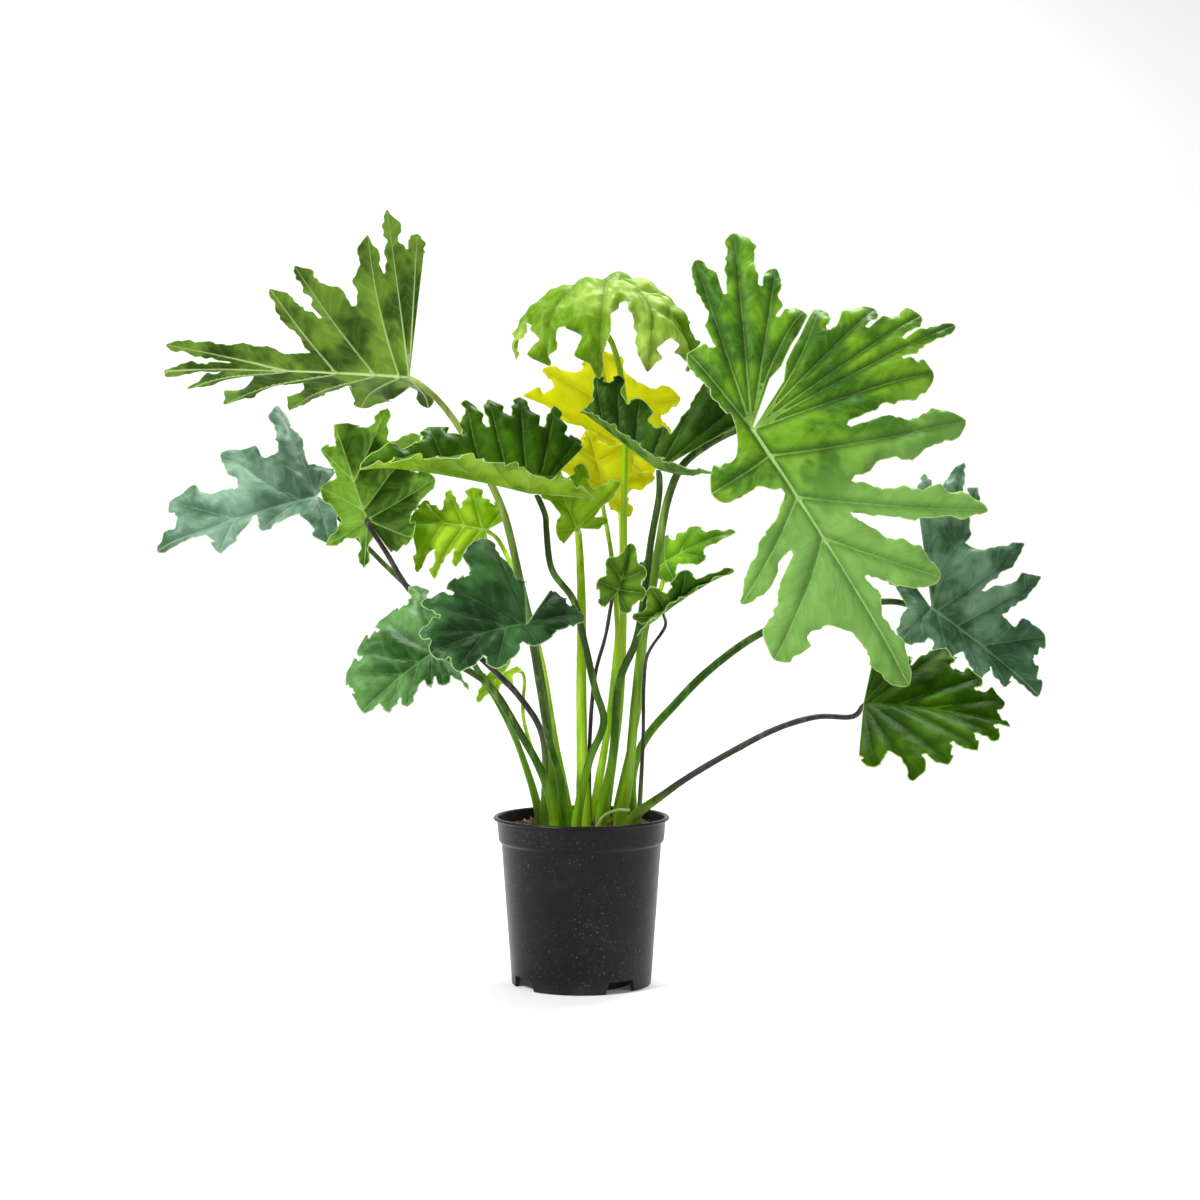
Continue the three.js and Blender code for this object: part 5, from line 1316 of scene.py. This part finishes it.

# %% [markdown]
# ## The stalk rule
# The rule turns a row of points into a curve and sweeps a slightly ribbed ring along it. The ring's
# size comes from a value that every point of the path carries. The fine ribs are lifted by the angle
# round the ring, and a noise pushes the skin in and out a little, as on a real stalk.

# %% The stalk rule
stem_rule = Rule("stem", {
    "Sides": "NodeSocketInt", "Ribs": "NodeSocketFloat", "Rib depth": "NodeSocketFloat",
    "Unevenness": "NodeSocketFloat", "Material": "NodeSocketMaterial"})
node, given = stem_rule.node, stem_rule.given
spot = node("GeometryNodeInputPosition")
round_angle = stem_rule.math("ARCTAN2", stem_rule.axis(spot, "Y"), stem_rule.axis(spot, "X"))
rib_wave = stem_rule.math("COSINE", round_angle * given("Ribs")) * given("Rib depth") + 1.0
ring = node("GeometryNodeCurvePrimitiveCircle", None, {"Resolution": given("Sides"), "Radius": 1.0})
ring = node("GeometryNodeSetPosition", None, {
    "Geometry": ring, "Position": stem_rule.scaled(spot, rib_wave)})
path = node("GeometryNodeMeshToCurve", None, {"Mesh": stem_rule.start})
thick = node("GeometryNodeInputNamedAttribute", {"data_type": "FLOAT"}, {"Name": "half_width"})
stem = node("GeometryNodeCurveToMesh", None, {
    "Curve": path, "Profile Curve": ring, "Scale": thick, "Fill Caps": True})
lumps = node("ShaderNodeTexNoise", None, {"Scale": 90.0, "Detail": 2.0}) - 0.5
outward = stem_rule.scaled(node("GeometryNodeInputNormal"), lumps * given("Unevenness"))
stem = node("GeometryNodeSetPosition", None, {"Geometry": stem, "Offset": outward})
stem = node("GeometryNodeSetShadeSmooth", None, {"Geometry": stem, "Shade Smooth": True})
stem_rule.finished(stem)
print("stem rule:", len(stem_rule.tree.nodes), "nodes")

# %% [markdown]
# ## Stalk paint
# A stalk is bright and fresh at the sheath, darker or greyer further up, and finely streaked along its
# length; the pale streaks are partly its own and partly painted highlights. Small pale corky specks sit
# on it. The mesh carries the height along the stalk, so the change of colour follows the stalk and not
# the room.

# %% Stalk paint
STALK_SHADE = 0.85


def stalk_paint(name, tones, turn=(0.3, 0.55), gloss=0.36):
    """Tones: the sheath's, the middle's, the top's and the specks'. Turn: the stretch of the stalk over
    which the middle tone gives way to the top one."""
    paint = Paint(name)
    base, middle, top, speck = (colour(tone, STALK_SHADE) for tone in tones)
    along = paint.own("along")
    streaks = paint.noise(110, 3, paint.stretched(1.0, 1.0, 0.06))
    specks = paint.step(paint.noise(700, 1), 0.66, 0.72)
    skin = paint.blend(paint.step(along, 0.08, 0.34), base, middle)
    skin = paint.blend(paint.step(along, *turn), skin, top)
    # The pale streaks are partly the stalk's own and partly painted highlights.
    skin = paint.blend(paint.step(streaks, 0.48, 0.68) * 0.4, skin, speck)
    skin = paint.blend(paint.step(streaks, 0.46, 0.3) * 0.5, skin, colour(tones[1], 0.5 * STALK_SHADE))
    skin = paint.blend(paint.step(paint.noise(24, 3), 0.5, 0.75) * 0.25, skin, speck)
    skin = paint.blend(specks * 0.35, skin, speck)
    relief = paint.bump(streaks * 0.6 + specks * 0.4, 0.0004, 0.7)
    return paint.finished(paint.surface(skin, streaks * 0.2 + gloss, relief, 0.3, colour("d0e4b0")))


STALK_PAINTS = {
    "fresh": stalk_paint("stalk_fresh", ("a0d008", "84b808", "98c40c", "d0e85c")),
    "deep": stalk_paint("stalk_deep_green", ("78b008", "2c5c04", "2c4414", "7cac40")),
    "arching": stalk_paint("stalk_arching", ("8cbc14", "6a9a18", "3c4f22", "a4c460"), (0.4, 0.8)),
    "olive": stalk_paint("stalk_olive", ("7aa814", "4a6a20", "7f9440", "a8b870"), (0.5, 0.8)),
    "purple": stalk_paint("stalk_purple_brown", ("7cae14", "3c4c20", "2c262a", "6c6664"), (0.14, 0.36)),
    "root": stalk_paint("root_bark", ("c9cf8a", "b8c878", "a8b86c", "e2e6b8"), gloss=0.55),
}
STALK_LOOK = {
    "upper_left": "olive", "far_left": "deep", "left": "purple", "centre_left": "deep", "lower_left": "deep",
    "lower_front": "deep", "centre_right": "deep", "far_right": "deep", "lower_right": "purple",
    "rolled_right": "purple", "cupped": "purple", "great_right": "arching",
}
print("stalk paints:", len(STALK_PAINTS))

# %% [markdown]
# At its upper end a stalk is cut to the plane of its blade's underside, so that the two meet without
# a step.

# %% Stalks
STALK_STEP, STALK_SIDES = ((5, 24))
CUT_REACH = 20


def path_mesh(name, points, along, half_widths):
    mesh = bpy.data.meshes.new(name)
    mesh.from_pydata((points * MM).tolist(), [(i, i + 1) for i in range(len(points) - 1)], [])
    add_values(mesh, "half_width", half_widths * MM)
    add_values(mesh, "along", along / along[-1])
    return mesh


def cut_to_plane(mesh, joint, normal, reach):
    """Draws the end of a stalk back, along its blade's normal, to the plane through the joint."""
    spots = np.empty(len(mesh.vertices) * 3, np.float32)
    mesh.vertices.foreach_get("co", spots)
    spots = spots.reshape(-1, 3)
    to = spots - joint
    over = np.maximum(to @ normal, 0) * (np.linalg.norm(to, axis=1) < reach)
    mesh.vertices.foreach_set("co", (spots - over[:, None] * normal).ravel())
    mesh.update()


stalk_total = 0
for name, row in LEAVES.items():
    leaf = {**GROWTH, **row}
    knots, normal = stalk_points(leaf)
    points, along = smooth_path(knots, STALK_STEP)
    mesh = path_mesh(f"stalk_path_{name}", points, along, stalk_radii(leaf["radii"], along))
    paint = STALK_PAINTS[STALK_LOOK.get(name, "fresh")]
    piece = grown(stem_rule, mesh, f"lacy_stalk_{name}", {
        "Sides": STALK_SIDES, "Ribs": 8.0, "Rib depth": 0.018, "Unevenness": 0.0007, "Material": paint})
    cut_to_plane(piece.data, points[-1] * MM, normal, CUT_REACH * MM)
    placed(piece, f"stalk_{name}", leaf["stalk"])
    stalk_total += len(piece.data.polygons)
print("stalks:", len(LEAVES), "with", stalk_total, "faces")

# %% [markdown]
# ## The aerial root
# A thin pale root arches out of the soil beside the stalks. It is made by the same rule.

# %% Aerial root
ROOT_RADIUS = 1.7
ROOT_POINTS = [[15, -62, 148], [15, -62, 170], [23, -61, 186], [38, -59, 193], [51, -54, 192]]
points, along = smooth_path(ROOT_POINTS, 2)
taper = ROOT_RADIUS * (1 - 0.3 * (1 - along / along[-1]))
root = grown(stem_rule, path_mesh("root_path", points, along, taper), "arching_root", {
    "Sides": 16, "Ribs": 5.0, "Rib depth": 0.03, "Unevenness": 0.0009, "Material": STALK_PAINTS["root"]})
placed(root, "aerial_root", "root_pale")
print("root length:", round(along[-1]), "mm")

# %% [markdown]
# ## The pot
# The nursery pot is blown or moulded plastic with a tapering wall, a stepped collar and a rolled rim.
# Its profile is turned round an axis, as on a lathe. Four notches are then cut through the foot ring
# so that water can run out.

# %% Pot profile
RIM_RADIUS, RIM_BEAD, POT_HEIGHT = 95, 2.2, 180
COLLAR_HEIGHT, COLLAR_RADIUS, BODY_RADIUS, BASE_RADIUS = 29, 89, 86, 75
WALL, FOOT_HEIGHT, FOOT_WIDTH, CHANNEL_WIDTH, FLOOR_RADIUS = 1.8, 12.5, 5, 11, 54
NOTCH_COUNT, NOTCH_STEPS, NOTCH_HALF_ANGLE, NOTCH_FIRST_ANGLE = 4, 9, 14.5, -55.5
BODY_TOP = POT_HEIGHT - COLLAR_HEIGHT
CHANNEL_TOP = FOOT_HEIGHT + WALL
CHANNEL_OUTER = BASE_RADIUS - FOOT_WIDTH
CHANNEL_INNER = CHANNEL_OUTER - CHANNEL_WIDTH


def inner_at(height):
    return BASE_RADIUS - WALL + (BODY_RADIUS - BASE_RADIUS) * height / BODY_TOP


def rounded(profile, radii, steps=4):
    """Rounds the corners of a profile: one radius, in mm, for each point."""
    line = []
    for k, (point, radius) in enumerate(zip(profile, radii)):
        if not radius:
            line.append(point)
            continue
        before, after = minus(profile[k - 1], point), minus(profile[(k + 1) % len(profile)], point)
        reach = min(radius, 0.45 * size(before), 0.45 * size(after))
        start = mix(point, profile[k - 1], reach / size(before))
        end = mix(point, profile[(k + 1) % len(profile)], reach / size(after))
        for i in range(steps + 1):
            t = i / steps
            line.append(mix(mix(start, point, t), mix(point, end, t), t))
    return line


# Each row: the distance from the axis, the height and the rounding of that corner.
bead = RIM_RADIUS - RIM_BEAD
POT_PROFILE = [
    (0, 0, 0), (FLOOR_RADIUS, 0, 1.2), (CHANNEL_INNER, FOOT_HEIGHT, 1), (CHANNEL_OUTER, FOOT_HEIGHT, 1),
    (CHANNEL_OUTER + 1, 0, 0.8), (BASE_RADIUS, 0, 1.4), (BODY_RADIUS, BODY_TOP, 1),
    (COLLAR_RADIUS, BODY_TOP + 3, 1.2), (bead - 2, POT_HEIGHT - 4.4, 0.6), (bead + 1, POT_HEIGHT - 3.8, 1),
    (RIM_RADIUS, POT_HEIGHT - RIM_BEAD, 1.6), (bead + 1.2, POT_HEIGHT - 0.4, 1), (bead - 1, POT_HEIGHT, 0.8),
    (bead - 3, POT_HEIGHT - 1, 0.8), (COLLAR_RADIUS - WALL, BODY_TOP + 3, 1),
    (inner_at(BODY_TOP), BODY_TOP - 1, 1), (inner_at(CHANNEL_TOP), CHANNEL_TOP, 1),
    (CHANNEL_INNER - 1, CHANNEL_TOP, 1), (FLOOR_RADIUS - 1, WALL, 1), (0, WALL, 0),
]
pot_line = rounded([row[:2] for row in POT_PROFILE], [row[2] for row in POT_PROFILE])
print("pot profile:", len(pot_line), "points")

# %% [markdown]
# Turning makes a ring of points for each point of the profile and joins neighbouring rings with
# four-sided faces. The last rings close on the axis.

# %% Turning
def turned(name, line, count, lift=None):
    """A profile turned round the upright axis. Lift, if given, raises each point by its own amount."""
    points, rings, faces = [], [], []
    for radius, height in line:
        ring = []
        for i in range(1 if radius < 1e-6 else count):
            angle = 2 * math.pi * i / count
            x, y = radius * math.cos(angle), radius * math.sin(angle)
            ring.append(len(points))
            points.append((x * MM, y * MM, (height + (lift(x, y, height) if lift else 0)) * MM))
        rings.append(ring)
    for low, high in zip(rings, rings[1:]):
        for i in range(count):
            j = i + 1
            corners = [low[i % len(low)], low[j % len(low)], high[j % len(high)], high[i % len(high)]]
            faces.append(list(dict.fromkeys(corners)))
    mesh = bpy.data.meshes.new(name)
    mesh.from_pydata(points, [], faces)
    return mesh


def notch_cutter(middle):
    """A curved wedge that is wider at the bottom: two rows of points, inner and outer by turns."""
    points = []
    for height, half in ((-2, NOTCH_HALF_ANGLE), (FOOT_HEIGHT, NOTCH_HALF_ANGLE - 3)):
        for i in range(NOTCH_STEPS):
            angle = math.radians(middle + half * (2 * i / (NOTCH_STEPS - 1) - 1))
            for reach in (CHANNEL_OUTER - 2, BASE_RADIUS + 6):
                points.append((reach * MM * math.cos(angle), reach * MM * math.sin(angle), height * MM))
    row = 2 * NOTCH_STEPS
    faces = [(0, 1, row + 1, row), (row - 2, 2 * row - 2, 2 * row - 1, row - 1)]
    for i in range(0, row - 2, 2):
        j = i + row
        faces += [(i, i + 2, i + 3, i + 1), (j, j + 1, j + 3, j + 2),
                  (i, j, j + 2, i + 2), (i + 1, i + 3, j + 3, j + 1)]
    mesh = bpy.data.meshes.new("notch")
    mesh.from_pydata(points, [], faces)
    return link(mesh, "notch")

# %% [markdown]
# ## Pot paint
# Recycled black plastic is never one black. It is cloudy, dull where it was handled, scuffed near the
# foot and the rim, and dusted with soil. Fine rings from the mould run round it.

# %% Pot paint
def pot_paint():
    paint = Paint("nursery_plastic")
    height = paint.axis(paint.place, "Z")
    cloud = paint.noise(11, 4)
    fine = paint.noise(260, 3)
    dust = paint.step(paint.noise(34, 5, None, 0.7), 0.50, 0.80)
    skin = paint.blend(paint.step(cloud, 0.3, 0.75), colour("050608"), colour("0d0f12"))
    skin = paint.blend(dust * 0.35, skin, colour("30302e"))
    skin = paint.blend(paint.step(fine, 0.55, 0.8) * 0.2, skin, colour("202226"))
    specks = paint.step(paint.noise(430, 3), 0.61, 0.72) * paint.step(cloud, 0.3, 0.6)
    skin = paint.blend(specks * 0.6, skin, colour("6c6860"))
    soiled = paint.step(height, 0.020, 0.0) * paint.step(cloud, 0.35, 0.6)
    skin = paint.blend(soiled * 0.25, skin, colour("4a4238"))
    scratches = paint.step(paint.noise(120, 3, paint.stretched(1, 1, 9)), 0.58, 0.72)
    rings = paint.math("SINE", height * 5200.0) * 0.15
    relief = paint.bump(fine * 0.5 + scratches * 0.3 + rings, 0.0003, 0.6)
    return paint.finished(paint.surface(skin, dust * 0.18 + scratches * 0.08 + 0.34, relief, 0.19))

# %% [markdown]
# The cutters take their wedges out of the foot ring with a Boolean modifier, and the result is made a
# plain mesh. A narrow bevel would be lost at this scale, so edges are only marked sharp by their angle.

# %% Pot
POT_CREASE = 38
pot = link(turned("nursery_pot", pot_line, 128), "nursery_pot")
cutters = [notch_cutter(NOTCH_FIRST_ANGLE + 360 / NOTCH_COUNT * i) for i in range(NOTCH_COUNT)]
for cutter in cutters:
    cut = pot.modifiers.new("notch", "BOOLEAN")
    cut.operation = "DIFFERENCE"
    cut.solver = "EXACT"
    cut.object = cutter
made_plain(pot)
for cutter in cutters:
    bpy.data.objects.remove(cutter)
pot.data.materials.clear()
pot.data.materials.append(pot_paint())
pot.data.shade_smooth()
pot.data.set_sharp_from_angle(angle=math.radians(POT_CREASE))
placed(pot, "pot", "pot_black")
print("pot faces:", len(pot.data.polygons))

# %% [markdown]
# ## The soil
# The soil is a loose, uneven fill. Broad lumps follow the measured solid, smaller ones are added by a
# noise, and the body below goes down inside the pot to its floor.

# %% Soil body
SOIL_GAP, SOIL_LUMP = 0.4, 1.7
SOIL_RADIUS = inner_at(BODY_TOP) - SOIL_GAP + (COLLAR_RADIUS - BODY_RADIUS) / 2


def soil_lift(x, y, height):
    if height < SOIL_TOP:
        return 0
    long = math.sin(x * 0.075 + 1.1) * math.cos(y * 0.082 - 0.4)
    short = math.sin(x * 0.19 + y * 0.13) * math.cos(y * 0.21 - x * 0.07)
    crumb = noise.noise(Vector((x * 0.16, y * 0.16, 3))) + 0.6 * noise.noise(Vector((x * 0.42, y * 0.42, 9)))
    return SOIL_LUMP * (long + 0.7 * short) + 1.4 * crumb


wall_at = BODY_TOP - 2
soil_line = [
    [0, WALL + SOIL_GAP], [FLOOR_RADIUS - 2, WALL + SOIL_GAP], [CHANNEL_INNER - 2, CHANNEL_TOP + SOIL_GAP],
    [inner_at(CHANNEL_TOP) - SOIL_GAP, CHANNEL_TOP + SOIL_GAP], [inner_at(wall_at) - SOIL_GAP, wall_at]]
soil_rings = 48
soil_line += [[SOIL_RADIUS * (1 - i / soil_rings), SOIL_TOP] for i in range(soil_rings + 1)]
soil_mesh = turned("soil_body", soil_line, 144, soil_lift)
print("soil faces:", len(soil_mesh.polygons))

# %% [markdown]
# ## Crumbs on the soil
# Potting mix is bark chips, crumbs and a few pale bits. The rule strews a rough chip over the top of
# the soil, turned and sized at random, and gives each chip a tint of its own.

# %% Crumb rule
CRUMBS_ABOVE = 0.155
crumb_rule = Rule("crumbs", {
    "Spacing": "NodeSocketFloat", "Least size": "NodeSocketFloat", "Greatest size": "NodeSocketFloat",
    "Seed": "NodeSocketInt", "Chip": "NodeSocketObject", "Material": "NodeSocketMaterial"})
node, given = crumb_rule.node, crumb_rule.given
upward = crumb_rule.math("GREATER_THAN", crumb_rule.axis(node("GeometryNodeInputNormal"), "Z"), 0.5)
height = crumb_rule.axis(node("GeometryNodeInputPosition"), "Z")
on_top = upward * crumb_rule.math("GREATER_THAN", height, CRUMBS_ABOVE)
strewn = node("GeometryNodeDistributePointsOnFaces", {"distribute_method": "POISSON"}, {
    "Mesh": crumb_rule.start, "Selection": on_top, "Distance Min": given("Spacing"),
    "Density Max": 90000.0, "Seed": given("Seed")})
turn = crumb_rule.random_vector((0, 0, 0), (6.3, 6.3, 6.3), given("Seed"))
stretch = crumb_rule.random_vector((0.6, 0.35, 0.25), (1.5, 0.9, 0.6), given("Seed") + 1)
grade = crumb_rule.random_number(given("Least size"), given("Greatest size"), given("Seed") + 2)
tint = crumb_rule.random_number(0.0, 1.0, given("Seed") + 3)
chip = node("GeometryNodeObjectInfo", None, {"Object": given("Chip")}, output="Geometry")
chips = node("GeometryNodeInstanceOnPoints", None, {
    "Points": strewn, "Instance": chip, "Rotation": turn, "Scale": crumb_rule.scaled(stretch, grade)})
chips = node("GeometryNodeStoreNamedAttribute", {"data_type": "FLOAT", "domain": "INSTANCE"}, {
    "Geometry": chips, "Name": "tint", "Value": tint})
both = node("GeometryNodeJoinGeometry", None, {0: crumb_rule.start})
crumb_rule.tree.links.new(chips.socket, both.socket.node.inputs[0])
crumb_rule.finished(both)
print("crumb rule:", len(crumb_rule.tree.nodes), "nodes")

# %% [markdown]
# The chip itself is a ball of twenty faces with its corners pushed about.

# %% Soil and crumbs
def soil_paint():
    paint = Paint("potting_mix")
    tint = paint.own("tint")
    cloud = paint.noise(40, 4)
    fine = paint.noise(900, 4)
    skin = paint.blend(cloud, colour("4c3226"), colour("8c6048"))
    skin = paint.blend(paint.step(tint, 0.2, 0.9), skin, colour("a87858"))
    skin = paint.blend(paint.step(tint, 0.93, 0.95), skin, colour("d0b4a4"))
    skin = paint.blend(fine * 0.5, skin, colour("20130d"))
    return paint.finished(paint.surface(skin, fine * 0.15 + 0.8, paint.bump(fine, 0.0008), 0.25))


def chip_mesh():
    shape = bmesh.new()
    bmesh.ops.create_icosphere(shape, subdivisions=1, radius=1)
    for corner in shape.verts:
        corner.co *= 1 + 0.35 * noise.noise(corner.co * 1.7 + Vector((4, 2, 7)))
    mesh = bpy.data.meshes.new("chip")
    shape.to_mesh(mesh)
    shape.free()
    return mesh


chip_object = link(chip_mesh(), "chip")
soil = grown(crumb_rule, soil_mesh, "soil_and_crumbs", {
    "Chip": chip_object, "Seed": 5, "Spacing": 0.0034, "Least size": 0.0010, "Greatest size": 0.0034,
    "Material": soil_paint()})
bpy.data.objects.remove(chip_object)
placed(soil, "soil", "potting_soil")
print("soil with crumbs:", len(soil.data.polygons), "faces")

# %% [markdown]
# ## The floor
# A pale floor that curves up into a pale backdrop gives the clean ground of a catalogue picture. One
# bent sheet does both, since a seam would show as a line behind the plant.

# %% Floor and backdrop
def backdrop():
    profile = [(-4.0, 0.0), (1.6, 0.0), (2.0, 0.04), (2.3, 0.16), (2.5, 0.36), (2.6, 0.7), (2.6, 4.5)]
    points = [(x, y, z - 0.0002) for y, z in profile for x in (-5.0, 5.0)]
    mesh = bpy.data.meshes.new("backdrop")
    mesh.from_pydata(points, [], [(2 * i, 2 * i + 1, 2 * i + 3, 2 * i + 2) for i in range(len(profile) - 1)])
    mesh.shade_smooth()
    paint = Paint("pale_floor")
    tone = paint.blend(paint.noise(3, 2), (0.8, 0.8, 0.8, 1), (0.84, 0.84, 0.84, 1))
    mesh.materials.append(paint.finished(paint.node("ShaderNodeBsdfPrincipled", None, {
        "Base Color": tone, "Roughness": 0.75, "Emission Color": (1, 1, 1, 1), "Emission Strength": 0.04})))
    link(mesh, "backdrop")


backdrop()
print("backdrop: a floor that curves up")

# %% [markdown]
# ## The light
# Large soft lamps from the front left, the right and above keep the shadows faint, and an even light
# from all round fills them. Small hard lamps would throw the leaves' shadows on one another.

# %% Light
LAMP_AIM = (0, 0, 0.4)


def lamp(name, place, power, width):
    light = bpy.data.lights.new(name, "AREA")
    light.energy = power
    light.shape = "DISK"
    light.size = width
    held = bpy.data.objects.new(name, light)
    stage_scene.collection.objects.link(held)
    held.location = place
    held.rotation_euler = (Vector(LAMP_AIM) - Vector(place)).to_track_quat("-Z", "Y").to_euler()


lamp("key", (-1.9, -1.5, 2.6), 125, 0.8)
lamp("fill", (2.4, -1.8, 1.2), 16, 1.2)
lamp("overhead", (0.5, 0.8, 2.7), 70, 1.0)
world = bpy.data.worlds.new("soft_room")
world.use_nodes = True
room_light = world.node_tree.nodes["Background"].inputs
room_light["Color"].default_value = (1, 1, 1, 1)
room_light["Strength"].default_value = 0.34
stage_scene.world = world
stage_scene.view_settings.view_transform = "Standard"
print("lamps: 3")
